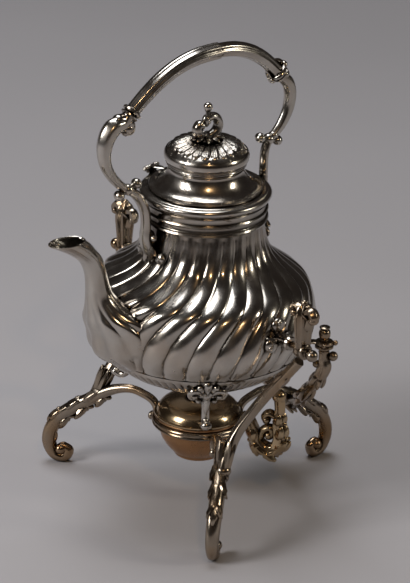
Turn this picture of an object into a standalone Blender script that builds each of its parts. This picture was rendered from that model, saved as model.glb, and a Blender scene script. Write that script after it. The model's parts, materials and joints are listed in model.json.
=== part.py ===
"""Silver table samovar: a tilting kettle with twisted lobes on a three-legged scroll stand with a spirit burner.

Metres, +Z up. The stand's feet rest on z = 0 and the spout points towards -X. Pieces called near are on the
-Y side and pieces called far are on the +Y side. Lists named SHARES hold places and sizes as shares of the
named sizes that they follow.
"""

import math

import bmesh
import bpy
from mathutils import Matrix, Vector

# Clearances
SEAT_GAP = 0.0003
PIN_CLEARANCE = 0.0003
OVERRUN = 0.004

# Kettle body
BODY_RADIUS = 0.099
BASE_RADIUS = 0.046
NECK_RADIUS = 0.0495
BASE_Z = 0.118
BELLY_Z = 0.172
NECK_TOP_Z = 0.2833
BODY_WALL = 0.0014
LOBES = 28
LOBE_DEPTH = 0.0032
LOBE_TWIST = math.radians(40)
LOBE_START_Z = 0.149
LOBE_RISE = 0.008
LOBE_END_Z = 0.262
LOBE_FADE_SHARE = 0.45
LOBE_NECK_SHARE = 0.2
LOWER_SHARES = [(0, 0), (0.117, 0.32), (0.296, 0.56), (0.444, 0.726), (0.593, 0.864), (0.778, 0.958), (1, 1)]
UPPER_SHARES = [(0, 1), (0.16, 0.955), (0.24, 0.9), (0.29, 0.845), (0.335, 0.75), (0.38, 0.61), (0.43, 0.452),
                (0.48, 0.315), (0.54, 0.195), (0.61, 0.12), (0.7, 0.072), (0.775, 0.04), (0.82, 0), (1, 0)]

# Twist of the lobes: (share of the way up them, share of the whole twist)
TWIST_SHARES = [(0, 0), (0.14, 0.05), (0.27, 0.14), (0.36, 0.24), (0.45, 0.37), (0.54, 0.54), (0.63, 0.71), (0.72, 0.84),
                (0.81, 0.93), (0.9, 0.98), (1, 1)]
STRAINER_RADIUS = 0.008
STRAINER_Z = 0.186

# Base band
BAND_LOW_Z = 0.127
BAND_HIGH_Z = 0.1415
BAND_THICKNESS = 0.0026
BAND_EDGE = 0.0008
BAND_LOBES = 36

# Neck ring: (radius beyond the neck, height) as shares of the ring's flare and of its height
RING_FLARE = 0.0073
RING_LOW_Z = 0.2635
RING_TOP_Z = 0.2903
RING_LEDGE = 0.0034
RING_SHARES = [(0.2, 0), (0.58, 0.1), (0.6, 0.24), (0.34, 0.38), (0.34, 0.6), (0.92, 0.76), (1, 0.84),
               (0.8, 0.92), (0.14, 1)]

# Lid
LID_RADIUS = 0.0491
LID_FLANGE = 0.0022
LID_SHELL = 0.0016
BEZEL_RADIUS = 0.0456
BEZEL_DEPTH = 0.0056
LID_NECK_RADIUS = 0.0325
LID_NECK_Z = 0.3116
LID_SLOPE_SHARES = [(0.79, 0), (0.4, 0.18), (0.1, 0.5), (0, 0.78), (0.06, 1)]
DOME_RADIUS = 0.0367
DOME_BAND_Z = 0.3222
DOME_TOP_Z = 0.3332
DOME_TOP_RADIUS = 0.009
DOME_LEAVES = 22
LEAF_DEPTH = 0.0008
DOME_SHARES = [(1, 0), (0.92, 0.32), (0.72, 0.62), (0.4, 0.89), (0, 1)]

# Finial
FINIAL_TIP_Z = 0.3668
FINIAL_BASE_RADIUS = 0.0145
FINIAL_BASE_HEIGHT = 0.0042
FINIAL_SPREAD = 0.0115
FINIAL_BAR = 0.0027
FINIAL_BALL = 0.0046
FINIAL_TIP_BALL = 0.004
FINIAL_STEM = 0.0020
FINIAL_NUT_RADIUS = 0.0048
FINIAL_NUT_HEIGHT = 0.0028
FINIAL_LEFT_SHARES = [(-0.35, 0.1, 1.2), (-0.85, 0.22, 1.1), (-1.15, 0.38, 0.9), (-1.05, 0.5, 0.9)]
FINIAL_RIGHT_SHARES = [(0.35, 0.1, 1.2), (0.85, 0.2, 1.1), (1.12, 0.37, 1.05), (1.0, 0.55, 1), (0.5, 0.68, 1),
                       (0, 0.72, 1)]

# Lid hinge
HINGE_AZIMUTH = math.radians(105)
HINGE_REACH = 0.0602
HINGE_Z = 0.2915
KNUCKLE_RADIUS = 0.0026
KNUCKLE_LENGTH = 0.007
HINGE_PIN_RADIUS = 0.0011
HINGE_LEAF = 0.0013
HINGE_TAB_INNER = 0.0462

# Spout: centre reach, centre height, half depth, half width, tilt of the section in degrees
SPOUT_REACH = 0.1435
SPOUT_SINK = 0.0416
SPOUT_ROOT_SHARE = 0.4
SPOUT_HEIGHT = 0.270
SPOUT_DEPTH = 0.0175
SPOUT_WIDTH = 0.041
SPOUT_WALL = 0.0015
SPOUT_LOBE_SHARE = 0.035
SPOUT_SIDES = 24
SPOUT_SHARES = [(1, 1, 1, 0.28, 0), (0.945, 0.981, 0.85, 0.265, -2), (0.885, 0.955, 0.67, 0.245, -5),
                (0.835, 0.928, 0.575, 0.23, -8), (0.8, 0.889, 0.54, 0.23, -11), (0.782, 0.844, 0.57, 0.255, -12),
                (0.763, 0.793, 0.69, 0.31, -12), (0.732, 0.752, 0.89, 0.5, -14), (0.7, 0.719, 1.12, 0.8, -17),
                (0.655, 0.681, 1.28, 0.95, -22), (0.6, 0.637, 1.6, 1, -28), (0.537, 0.585, 1.2, 0.98, -36),
                (0.474, 0.541, 0.95, 0.87, -45), (0.42, 0.505, 0.52, 0.65, -55)]
SPOUT_LOBED_FROM = 7

# Kettle feet: reach, height, half thickness, half width
FOOT_REACH = 0.074
FOOT_DROP_Z = 0.0955
FOOT_TOP_Z = 0.142
FOOT_BAR = 0.0032
FOOT_AZIMUTH = math.radians(122)
FOOT_SHARES = [(1.16, 1, 2.2, 3.6), (1.08, 0.84, 2, 4.2), (1.0, 0.66, 1.6, 2.8), (0.95, 0.48, 1.2, 1.5),
               (0.92, 0.3, 1, 1.05), (0.935, 0.14, 1, 1.05), (1.0, 0.08, 1.15, 1.15), (1.07, 0.13, 1.35, 1.35)]

# Tilt axis and pivots
PIVOT_BACK = 0.010
PIVOT_Z = 0.183
PIN_RADIUS = 0.0025
PIN_LENGTH = 0.027
PIN_COLLAR_RADIUS = 0.0042
PIN_COLLAR = 0.002
PIN_BALL = 0.0052
BOSS_RADIUS = 0.0056
BOSS_SETBACK = 0.0155
BOSS_ROOT = 0.090
TREFOIL_RADIUS = 0.0078
TREFOIL_SPREAD = 0.0095
TREFOIL_DEPTH = 0.0046

# Pivot brackets: reach and height are measured from the pivot's eye
BRACKET_CLEARANCE = 0.031
BRACKET_REACH = BODY_RADIUS + BRACKET_CLEARANCE
PIN_INNER = BRACKET_REACH - PIN_LENGTH
BOSS_END = BRACKET_REACH - BOSS_SETBACK
EYE_RADIUS = 0.0068
EYE_LENGTH = 0.0105
BRACKET_HEIGHT = 0.044
BRACKET_BAR = 0.0046
BRACKET_WIDTH = 0.0085
HORN_REACH = 0.014
TRUNK_SHARES = [(0, 0.04, 1, 0.55), (0, 0.3, 1, 0.62), (0, 0.55, 1.05, 0.8), (0.02, 0.75, 1.1, 1), (0, 0.9, 0.9, 0.9),
                (0, 1, 0.6, 0.5)]
HORN_SHARES = [(0, 0.68, 0.8, 0.7), (0.3, 0.84, 0.8, 0.6), (0.72, 0.9, 0.75, 0.5), (0.98, 0.82, 0.85, 0.48),
               (0.92, 0.74, 0.9, 0.48)]
VOLUTE_SHARES = [(0, 0.68, 0.8, 0.7), (-0.35, 0.84, 0.75, 0.6), (-0.78, 0.88, 0.7, 0.5), (-0.98, 0.79, 0.8, 0.45),
                 (-0.85, 0.72, 0.8, 0.42)]

# Stand legs: reach, height, half thickness, half width
LEG_REACH = 0.143
LEG_HEIGHT = 0.0805
LEG_BAR = 0.006
LEG_OUTER_SHARE = 0.905
LEG_AZIMUTH = math.radians(121)
LEG_TWIST = math.radians(12)
LEG_SHARES = [(0.86, 0.2, 0.75, 0.8), (0.872, 0.1, 0.72, 0.8), (0.916, 0.032, 0.82, 0.95), (0.972, 0.106, 0.88, 0.9),
              (1, 0.248, 0.98, 1), (0.979, 0.422, 1, 1.05), (0.916, 0.584, 1.05, 1.05), (0.825, 0.708, 1.08, 1.05),
              (0.727, 0.82, 0.98, 1), (0.643, 0.919, 0.85, 0.92), (0.559, 0.98, 0.7, 0.8), (0.476, 1, 0.62, 0.7),
              (0.402, 0.972, 0.6, 0.64), (0.345, 0.93, 0.64, 0.6), (0.313, 0.862, 0.62, 0.58),
              (0.316, 0.785, 0.6, 0.58), (0.343, 0.735, 0.62, 0.6), (0.37, 0.76, 0.75, 0.66)]

# Leaf steps under each leg: place along the leg, length and drop
LEAF_STEP_SHARES = [(0.80, 0.675), (0.70, 0.765)]
LEAF_STEP_BAR = 0.0034

# Burner ring
BURNER_RING_INNER = 0.0354
BURNER_RING_OUTER = 0.0408
LEG_ROOT_GAP = 0.0021
LEG_ROOT = BURNER_RING_OUTER + LEG_ROOT_GAP
LEG_ROOT_SHARE = 0.3
BURNER_RING_LOW_Z = 0.0675
BURNER_RING_TOP_Z = 0.0745

# Posts from the front legs: share of reach along X, share of reach along Y, height, half thickness, half width
POST_REACH = 0.130
POST_ROOT = 0.0936
POST_ROOT_SHARE = 0.72
POST_LOW_Z = 0.064
POST_BAR = 0.0055
POST_SHARES = [(-0.335, 0.725, 0, 1, 1), (-0.3, 0.705, 0.12, 1.05, 1.1), (-0.21, 0.69, 0.3, 1.1, 1.25),
               (-0.12, 0.735, 0.48, 1, 1.15), (-0.03, 0.815, 0.68, 1, 1.1), (0.04, 0.9, 0.84, 0.95, 1),
               (0.077, 0.97, 0.96, 0.85, 0.9), (0.077, 1, 1.02, 0.8, 0.85)]

# Rear arms and rest lugs
ARM_CLEARANCE = 0.008
ARM_REACH = BODY_RADIUS + ARM_CLEARANCE
ARM_AZIMUTH = math.radians(41)
ARM_LOW_Z = 0.066
ARM_TOP_Z = 0.146
ARM_BAR = 0.0055
ARM_SHARES = [(0.93, 0.08, 0, 0.95), (0.89, 0.36, 0.13, 0.95), (0.86, 0.68, 0.28, 0.9), (0.89, 0.88, 0.44, 0.95),
              (0.955, 0.98, 0.6, 1.05), (1.005, 1, 0.76, 1.25), (1, 1, 0.87, 0.85), (1, 1, 0.96, 0.8)]
ARM_BALL = 0.0043
ARM_BALL_SHARE = 0.9
PLATE_RADIUS = 0.0082
PLATE_THICKNESS = 0.003
LUG_THICKNESS = 0.003
LUG_WIDTH = 0.011
LUG_LENGTH = 0.027
BARREL_HEIGHT = 0.0145
BARREL_RADIUS = 0.0052
BARREL_SHARES = [(0.9, 0), (0.62, 0.1), (0.95, 0.3), (1, 0.55), (0.92, 0.74), (0.66, 0.8), (0.92, 0.87), (0.7, 0.96)]

# Handle: reach along X and rise above the joint
HANDLE_TOP_Z = 0.4133
HANDLE_REACH = 0.080
GRIP_RADIUS = 0.0067
GRIP_LOBES = 8
GRIP_LOBE_SHARE = 0.07
GRIP_END_Z = 0.3755
GRIP_SHARES = [(-0.97, 0.03), (-0.84, 0.27), (-0.65, 0.565), (-0.42, 0.82), (-0.17, 0.965), (0.06, 1), (0.29, 0.945),
               (0.52, 0.775), (0.72, 0.505), (0.885, 0.17)]
COLLAR_RADIUS = 0.0092
COLLAR_LENGTH = 0.0085
COLLAR_SHARES = [(0.62, 0), (1, 0.18), (1, 0.36), (0.72, 0.5), (0.92, 0.64), (0.92, 0.82), (0.62, 1)]
FRONT_JOINT_X = -0.082
FRONT_JOINT_Z = 0.305
REAR_JOINT_X = 0.066
REAR_JOINT_Z = 0.3195
KNOT_RADIUS = 0.0048
ARM_FRONT_BULGE = 0.0255
ARM_FRONT_BAR = 0.008
ARM_FRONT_SHARES = [(0.3, 0.935, 0.85), (0.66, 0.905, 1), (0.9, 0.77, 0.93), (1, 0.605, 0.8), (0.93, 0.42, 0.66),
                    (0.68, 0.245, 0.54), (0.36, 0.105, 0.45), (0.1, 0.02, 0.4)]
ARM_REAR_BULGE = 0.0215
ARM_REAR_BAR = 0.0058
ARM_REAR_SHARES = [(0.6, 0.975, 0.9), (0.88, 0.86, 1), (1, 0.66, 0.95), (0.9, 0.42, 0.88), (0.6, 0.2, 0.75),
                   (0.2, 0.03, 0.62)]
BRACKET_BAR_SIZE = 0.0042
FRONT_BRACKET_SHARES = [(1, 1, 0.85, 0.9), (0.64, 0.92, 1, 1), (0.33, 0.8, 1.05, 1.05), (0.14, 0.66, 1, 1.1),
                        (0.09, 0.5, 1, 1.1), (0.12, 0.34, 1.1, 1.2), (-0.02, 0.2, 1.1, 1.5),
                        (-0.2, 0.08, 1, 1.6), (-0.24, 0.02, 0.8, 1.2)]
REAR_BRACKET_SHARES = [(1, 1, 0.8, 0.85), (0.25, 0.9, 0.85, 0.9), (0.05, 0.79, 0.85, 0.95), (0.05, 0.66, 0.85, 1),
                       (0.07, 0.5, 0.9, 1.05), (0.12, 0.36, 1, 1.2), (-0.3, 0.22, 1, 1.5),
                       (-0.95, 0.1, 0.95, 1.5), (-1.1, 0.03, 0.75, 1.1)]
BRACKET_ROOT_Z = 0.232
FRONT_BRACKET_INNER = 0.0605
REAR_BRACKET_INNER = 0.0615
SHOULDER_KNOB = 0.0058
SHOULDER_KNOB_X = 0.0565
SHOULDER_KNOB_Z = 0.2572
SHOULDER_LEAF = 0.0062
SHOULDER_LEAF_SPREAD = 0.0125
SHOULDER_LEAF_Z = 0.2395
VOLUTE_BAR = 0.0026
VOLUTE_BALL = 0.0044

# Burner
FLANGE_RADIUS = 0.0388
FLANGE_THICKNESS = 0.002
BOWL_RADIUS = 0.0350
BOWL_BASE_RADIUS = 0.0205
BOWL_BASE_Z = 0.039
BOWL_WALL = 0.0014
BOWL_SHARES = [(0, 0), (0.16, 0.07), (0.56, 0.32), (0.9, 0.62), (1, 0.86)]
TOP_RADIUS = 0.0366
TOP_Z = 0.0918
WELL_RADIUS = 0.0115
WELL_Z = 0.0885
TOP_SHARES = [(1, 0), (0.96, 0.42), (0.78, 0.78), (0.3, 1), (0, 1)]
WICK_RADIUS = 0.0042
WICK_TUBE_RADIUS = 0.006
WICK_TUBE_FLANGE = 0.008
WICK_TUBE_LENGTH = 0.022
WICK_BASE_Z = 0.047
CAP_RADIUS = 0.0102
CAP_TOP_Z = 0.0950
CAP_WALL = 0.001
BURNER_HANDLE_AZIMUTH = math.radians(-52)
BURNER_HANDLE_REACH = 0.076
BURNER_HANDLE_HEIGHT = 0.104
BURNER_HANDLE_BAR = 0.0046
BURNER_HANDLE_SHARES = [(0.5, 0.785, 0.7, 1), (0.6, 0.745, 0.85, 1.1), (0.655, 0.655, 0.9, 1.2),
                        (0.7, 0.55, 1, 1.35), (0.82, 0.475, 1.1, 1.5), (0.95, 0.5, 1.05, 1.4), (1, 0.61, 0.95, 1.2),
                        (0.97, 0.74, 0.85, 1), (1.0, 0.87, 0.8, 0.9), (0.95, 0.985, 1.05, 1.05)]

# The kettle's axis stands off the origin, so that the origin is midway between the spout's tip and the rear leg
SPOUT_TIP_REACH = SPOUT_REACH + SPOUT_DEPTH
LEG_OUTER_REACH = LEG_REACH + LEG_BAR * LEG_OUTER_SHARE
AXIS_X = (SPOUT_TIP_REACH - LEG_OUTER_REACH) / 2

# Mesh steps
FINE_STEPS = 44
TURN_STEPS = 32
SMALL_STEPS = 14
BALL_SIDES = 10
BALL_RINGS = 6
BAR_SIDES = 8
CURVE_SPLITS = 1

SILVER = ("silver", (0.86, 0.85, 0.82), 0.14, 1.0)
STAND_SILVER = ("stand_silver", (0.72, 0.67, 0.58), 0.2, 1.0)
BRASS = ("gilt_brass", (0.80, 0.66, 0.42), 0.22, 1.0)
COPPER = ("copper", (0.74, 0.46, 0.30), 0.3, 1.0)
COTTON = ("cotton", (0.85, 0.82, 0.74), 0.9, 0.0)


def clear_scene():
    """Remove every object, so that the model starts from nothing."""
    for obj in list(bpy.data.objects):
        bpy.data.objects.remove(obj, do_unlink=True)


def material(finish):
    """Return the material for a (name, colour, roughness, metallic) finish, making it once."""
    name, colour, roughness, metallic = finish
    mat = bpy.data.materials.get(name)
    if mat is None:
        mat = bpy.data.materials.new(name)
        mat.use_nodes = True
        shader = mat.node_tree.nodes["Principled BSDF"]
        shader.inputs["Base Color"].default_value = (*colour, 1.0)
        shader.inputs["Roughness"].default_value = roughness
        shader.inputs["Metallic"].default_value = metallic
    return mat


def piece(name, mesh, finish, group):
    """Make a named piece from a mesh drawn about the kettle's axis, and hang it on its group's empty."""
    obj = bpy.data.objects.new(name, mesh)
    mesh.name = name
    mesh.materials.clear()
    mesh.materials.append(material(finish))
    mesh.shade_smooth()
    mesh.set_sharp_from_angle(angle=math.radians(38))
    bpy.context.scene.collection.objects.link(obj)
    obj.parent = group
    obj.location = Vector((AXIS_X, 0, 0)) - group_place(group)
    return obj


def group_place(group):
    """World position of a group's empty."""
    place = Vector(group.location)
    while group.parent:
        group = group.parent
        place += group.location
    return place


def empty(name, place, parent=None):
    """Make an empty at a world place, on a joint's axis."""
    obj = bpy.data.objects.new(name, None)
    bpy.context.scene.collection.objects.link(obj)
    obj.parent = parent
    obj.location = Vector(place) - (group_place(parent) if parent else Vector())
    return obj


def interpolate(table, share):
    """Read a two-column table at a share, along straight lines."""
    for (x0, y0), (x1, y1) in zip(table, table[1:]):
        if share <= x1:
            return y0 + (y1 - y0) * (share - x0) / (x1 - x0)
    return table[-1][1]


def body_radius(z):
    """Radius of the kettle over the crests of its lobes."""
    if z <= BELLY_Z:
        swell = interpolate(LOWER_SHARES, max(0, (z - BASE_Z) / (BELLY_Z - BASE_Z)))
        return BASE_RADIUS + (BODY_RADIUS - BASE_RADIUS) * swell
    swell = interpolate(UPPER_SHARES, min(1, (z - BELLY_Z) / (NECK_TOP_Z - BELLY_Z)))
    return NECK_RADIUS + (BODY_RADIUS - NECK_RADIUS) * swell


def body_heights():
    """Heights of the rows of the kettle's mesh."""
    lower = [BASE_Z + (BELLY_Z - BASE_Z) * share for share, _ in LOWER_SHARES]
    upper = [BELLY_Z + (NECK_TOP_Z - BELLY_Z) * share for share, _ in UPPER_SHARES[1:]]
    return lower + upper


def lobe_height(z):
    """Share of the full lobe depth at a height: none on the plain foot, less on the neck."""
    if z <= LOBE_START_Z or z >= LOBE_END_Z:
        return 0
    rise = min(1, (z - LOBE_START_Z) / LOBE_RISE)
    fade = max(0, (lobe_way(z) - LOBE_FADE_SHARE) / (1 - LOBE_FADE_SHARE))
    return rise * (1 - (1 - LOBE_NECK_SHARE) * fade)


def lobe_way(z):
    """Share of the way up the lobes at a height."""
    return min(1, max(0, (z - LOBE_START_Z) / (LOBE_END_Z - LOBE_START_Z)))


def lobe_turn(z):
    """Angle by which the lobes have twisted at a height."""
    return LOBE_TWIST * interpolate(TWIST_SHARES, lobe_way(z))


def mesh_of(bm, name="shape"):
    """Turn a bmesh into a mesh, with its faces pointing out."""
    bmesh.ops.remove_doubles(bm, verts=bm.verts, dist=1e-6)
    bmesh.ops.recalc_face_normals(bm, faces=bm.faces)
    mesh = bpy.data.meshes.new(name)
    bm.to_mesh(mesh)
    bm.free()
    return mesh


def moved(mesh, matrix):
    """Return the mesh moved by a matrix, turned right side out if the matrix mirrors it."""
    mesh.transform(matrix)
    if matrix.determinant() < 0:
        mesh.flip_normals()
    return mesh


def copied(mesh, matrix=None):
    """Return a copy of a mesh, moved by a matrix if one is given."""
    copy = mesh.copy()
    return moved(copy, matrix) if matrix else copy


def mirrored(mesh):
    """Return the mesh's mirror image across the handle's plane."""
    return copied(mesh, Matrix.Scale(-1, 4, Vector((0, 1, 0))))


def combined(base, tools, operation):
    """Join the tool meshes to the base mesh, or cut them from it, and return the result."""
    result = base
    for tool in tools:
        body = bpy.data.objects.new("body", result)
        other = bpy.data.objects.new("tool", tool)
        bpy.context.scene.collection.objects.link(body)
        bpy.context.scene.collection.objects.link(other)
        modifier = body.modifiers.new("combine", "BOOLEAN")
        modifier.operation = operation
        modifier.solver = "EXACT"
        modifier.object = other
        depsgraph = bpy.context.evaluated_depsgraph_get()
        result = bpy.data.meshes.new_from_object(body.evaluated_get(depsgraph))
        bpy.data.objects.remove(body)
        bpy.data.objects.remove(other)
    return result


def joined(base, *others):
    """Union of meshes."""
    return combined(base, others, "UNION")


def cut(base, *tools):
    """A mesh less the tool meshes."""
    return combined(base, tools, "DIFFERENCE")


def turned(outline, steps=TURN_STEPS):
    """Spin an outline of (radius, height) points about Z. An outline off the axis is closed into a ring."""
    bm = bmesh.new()
    verts = [bm.verts.new((radius, 0, z)) for radius, z in outline]
    edges = [bm.edges.new(pair) for pair in zip(verts, verts[1:]) if pair[0].co.x > 0 or pair[1].co.x > 0]
    if outline[0][0] > 0 and outline[-1][0] > 0:
        edges.append(bm.edges.new((verts[-1], verts[0])))
    bmesh.ops.spin(bm, geom=verts + edges, cent=(0, 0, 0), axis=(0, 0, 1), angle=math.tau, steps=steps,
                   use_merge=True, use_duplicate=False)
    return mesh_of(bm)


def lofted(rings):
    """Skin a list of rings of points, closed by a face at each end."""
    bm = bmesh.new()
    rows = [[bm.verts.new(point) for point in ring] for ring in rings]
    count = len(rows[0])
    for low, high in zip(rows, rows[1:]):
        for i in range(count):
            j = (i + 1) % count
            bm.faces.new((low[i], low[j], high[j], high[i]))
    bm.faces.new(list(reversed(rows[0])))
    bm.faces.new(rows[-1])
    return mesh_of(bm)


def smoothed(stations, splits=CURVE_SPLITS):
    """Add points between stations, on a curve through them. A station is a tuple of numbers."""
    ends = [stations[0]] + list(stations) + [stations[-1]]
    result = []
    for k in range(1, len(ends) - 2):
        a, b, c, d = ends[k - 1:k + 3]
        for step in range(splits):
            t = step / splits
            weights = ((-t + 2 * t * t - t ** 3) / 2, (2 - 5 * t * t + 3 * t ** 3) / 2,
                       (t + 4 * t * t - 3 * t ** 3) / 2, (t ** 3 - t * t) / 2)
            result.append(tuple(sum(w * v for w, v in zip(weights, values)) for values in zip(a, b, c, d)))
    result.append(tuple(stations[-1]))
    return result


def swept(stations, side, sides=BAR_SIDES, lobes=0, lobe_share=0.0, round_ends=True):
    """Sweep an oval section along stations of (x, y, z, half thickness, half width), with domed ends.

    The width lies along side, and the thickness lies square to it and to the path.
    """
    points = [Vector(station[:3]) for station in stations]
    rings = []

    def ring(centre, tangent, thickness, width):
        across = (side - tangent * side.dot(tangent)).normalized()
        up = across.cross(tangent).normalized()
        loop = []
        for k in range(sides):
            angle = math.tau * (k + 0.5) / sides
            swell = 1 + lobe_share * math.cos(lobes * angle)
            loop.append(centre + up * (thickness * swell * math.cos(angle)) + across * (width * swell * math.sin(angle)))
        return loop

    def domes(centre, tangent, thickness, width, sign):
        reach = min(thickness, width)
        result = [ring(centre + tangent * (sign * reach * rise), tangent, thickness * scale, width * scale)
                  for rise, scale in ((0.55, 0.8), (0.9, 0.42))]
        return result

    count = len(stations)
    tangents = []
    for k in range(count):
        tangents.append((points[min(k + 1, count - 1)] - points[max(k - 1, 0)]).normalized())
    if round_ends:
        rings += reversed(domes(points[0], tangents[0], *stations[0][3:5], -1))
    for centre, tangent, station in zip(points, tangents, stations):
        rings.append(ring(centre, tangent, station[3], station[4]))
    if round_ends:
        rings += domes(points[-1], tangents[-1], *stations[-1][3:5], 1)
    return lofted(rings)


def ball(place, radius, flatten=(1, 1, 1)):
    """A ball, or an egg if flattened, at a place."""
    bm = bmesh.new()
    bmesh.ops.create_uvsphere(bm, u_segments=BALL_SIDES, v_segments=BALL_RINGS, radius=radius)
    mesh = mesh_of(bm)
    return moved(mesh, Matrix.Translation(Vector(place)) @ Matrix.Diagonal((*flatten, 1)))


def rod(start, end, radius, steps=SMALL_STEPS):
    """A round rod between two places."""
    start, end = Vector(start), Vector(end)
    mesh = turned([(0, 0), (radius, 0), (radius, (end - start).length), (0, (end - start).length)], steps)
    return moved(mesh, Matrix.Translation(start) @ (end - start).to_track_quat("Z", "Y").to_matrix().to_4x4())


def aimed(mesh, place, direction):
    """Move a mesh that was turned about Z to a place, with its axis along a direction."""
    return moved(mesh, Matrix.Translation(Vector(place)) @ Vector(direction).to_track_quat("Z", "Y").to_matrix().to_4x4())


def at_azimuth(mesh, azimuth):
    """Turn a mesh drawn along +X about the kettle's axis."""
    return moved(mesh, Matrix.Rotation(azimuth, 4, "Z"))


def kettle_envelope(gap):
    """Solid of the kettle's outside, with its base band, grown by a gap. Pieces that seat on the kettle are cut by it."""
    outline = [(0, BASE_Z - gap)]
    for z in sorted(body_heights() + [BAND_LOW_Z - gap, BAND_LOW_Z, BAND_HIGH_Z, BAND_HIGH_Z + gap]):
        swell = BAND_THICKNESS if BAND_LOW_Z - gap < z < BAND_HIGH_Z + gap else 0
        outline.append((body_radius(z) + swell + gap, z - (gap if z == BASE_Z else 0)))
    outline += [(body_radius(NECK_TOP_Z) + gap, NECK_TOP_Z + OVERRUN), (0, NECK_TOP_Z + OVERRUN)]
    return turned(outline, 2 * FINE_STEPS)


def kettle_body_mesh():
    """Hollow kettle: twisted lobes outside and a plain wall inside, open at the neck."""
    sides = 3
    count = LOBES * sides
    bm = bmesh.new()

    def outer_row(z):
        row = []
        for k in range(count):
            angle = math.tau * (k + sides / 2) / count
            groove = 0 if k % sides else 1
            radius = body_radius(z) - LOBE_DEPTH * lobe_height(z) * groove
            turn = angle + lobe_turn(z)
            row.append(bm.verts.new((radius * math.cos(turn), radius * math.sin(turn), z)))
        return row

    def inner_row(z, radius):
        row = []
        for k in range(LOBES):
            angle = math.tau * k / LOBES + lobe_turn(NECK_TOP_Z)
            row.append(bm.verts.new((radius * math.cos(angle), radius * math.sin(angle), z)))
        return row

    def skin(low, high):
        for i in range(len(low)):
            j = (i + 1) % len(low)
            bm.faces.new((low[i], low[j], high[j], high[i]))

    outer = [outer_row(z) for z in body_heights()]
    for low, high in zip(outer, outer[1:]):
        skin(low, high)
    bm.faces.new(list(reversed(outer[0])))
    inner = []
    for z in body_heights():
        depth = LOBE_DEPTH * lobe_height(z) + BODY_WALL
        inner.append(inner_row(max(z, BASE_Z + BODY_WALL), body_radius(z) - depth))
    for low, high in zip(inner, inner[1:]):
        skin(list(reversed(low)), list(reversed(high)))
    bm.faces.new(inner[0])
    for i in range(LOBES):
        rim = [outer[-1][(i * sides + step) % count] for step in range(sides + 1)]
        bm.faces.new(rim + [inner[-1][(i + 1) % LOBES], inner[-1][i]])
    return mesh_of(bm)


def base_band_mesh():
    """Band of small gadroons that follows the kettle's foot."""
    sides = 2
    count = BAND_LOBES * sides
    middle_z = (BAND_LOW_Z + BAND_HIGH_Z) / 2
    bm = bmesh.new()

    def row(z, out, swell):
        ring = []
        for k in range(count):
            angle = math.tau * k / count
            bump = swell if k % sides else 0
            radius = body_radius(z) + SEAT_GAP + out + bump
            ring.append(bm.verts.new((radius * math.cos(angle), radius * math.sin(angle), z)))
        return ring

    bulge = BAND_THICKNESS - SEAT_GAP - BAND_EDGE
    rows = [row(BAND_LOW_Z, 0, 0), row(BAND_LOW_Z, BAND_EDGE, 0), row(middle_z, BAND_EDGE, bulge),
            row(BAND_HIGH_Z, BAND_EDGE, 0), row(BAND_HIGH_Z, 0, 0), row(middle_z, 0, 0)]
    for low, high in zip(rows, rows[1:] + rows[:1]):
        for i in range(count):
            j = (i + 1) % count
            bm.faces.new((low[i], low[j], high[j], high[i]))
    return mesh_of(bm)


def neck_ring_mesh():
    """Rim moulding with a bead, a waist and a flared lip, and the ledge that the lid rests on."""
    height = RING_TOP_Z - RING_LOW_Z
    inner = NECK_RADIUS + SEAT_GAP
    outline = [(inner + RING_FLARE * out, RING_LOW_Z + height * rise) for out, rise in RING_SHARES]
    ledge = NECK_RADIUS - RING_LEDGE + SEAT_GAP
    outline += [(ledge, RING_TOP_Z), (ledge, NECK_TOP_Z + SEAT_GAP), (inner, NECK_TOP_Z + SEAT_GAP),
                (inner, RING_LOW_Z)]
    return turned(outline, FINE_STEPS)


def spout_stations(wall):
    """Centre, half depth, half width and tilt of each section of the spout."""
    stations = []
    root = BODY_RADIUS - SPOUT_SINK
    for share, height, depth, width, tilt in SPOUT_SHARES:
        reach = root + (SPOUT_REACH - root) * (share - SPOUT_ROOT_SHARE) / (1 - SPOUT_ROOT_SHARE)
        stations.append((reach, SPOUT_HEIGHT * height, SPOUT_DEPTH * depth - wall,
                         SPOUT_WIDTH * width - wall, math.radians(tilt)))
    return stations


def spout_rings(stations, sides, lobe_share):
    """Rings of points round the spout's sections, from the lip down."""
    rings = []
    for index, (reach, z, depth, width, tilt) in enumerate(stations):
        lobe = lobe_share * min(1, max(0, index - SPOUT_LOBED_FROM + 1) / 2)
        ring = []
        for k in range(sides):
            angle = math.tau * k / sides
            swell = 1 + lobe * math.cos(sides / 2 * angle)
            out = depth * swell * math.cos(angle)
            across = width * swell * math.sin(angle)
            ring.append(Vector((-reach - out * math.cos(tilt), across, z + out * math.sin(tilt))))
        rings.append(ring)
    return rings


def spout_mesh(envelope):
    """Hollow spout, open at its lip and over the strainer, seated on the kettle."""
    outside = lofted(spout_rings(spout_stations(0), SPOUT_SIDES, SPOUT_LOBE_SHARE))
    bore_stations = spout_stations(SPOUT_WALL)
    top = bore_stations[0]
    bore_stations.insert(0, (top[0], top[1] + OVERRUN, top[2], top[3], top[4]))
    bore = lofted(spout_rings(bore_stations, SPOUT_SIDES // 2, 0))
    return cut(outside, bore, envelope)


def planar(shares, place, reach, height, bar, width, splits=CURVE_SPLITS):
    """Stations in the XZ plane from (x share, z share, thickness share, width share) rows."""
    x0, z0 = place
    stations = [(x0 + reach * x, 0, z0 + height * z, bar * thick, width * wide) for x, z, thick, wide in shares]
    return smoothed(stations, splits)


def foot_mesh(envelope):
    """Leaf-topped scroll foot, drawn along +X."""
    stations = planar(FOOT_SHARES, (0, FOOT_DROP_Z), FOOT_REACH, FOOT_TOP_Z - FOOT_DROP_Z, FOOT_BAR, FOOT_BAR)
    return cut(swept(stations, Vector((0, 1, 0))), envelope)


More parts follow.
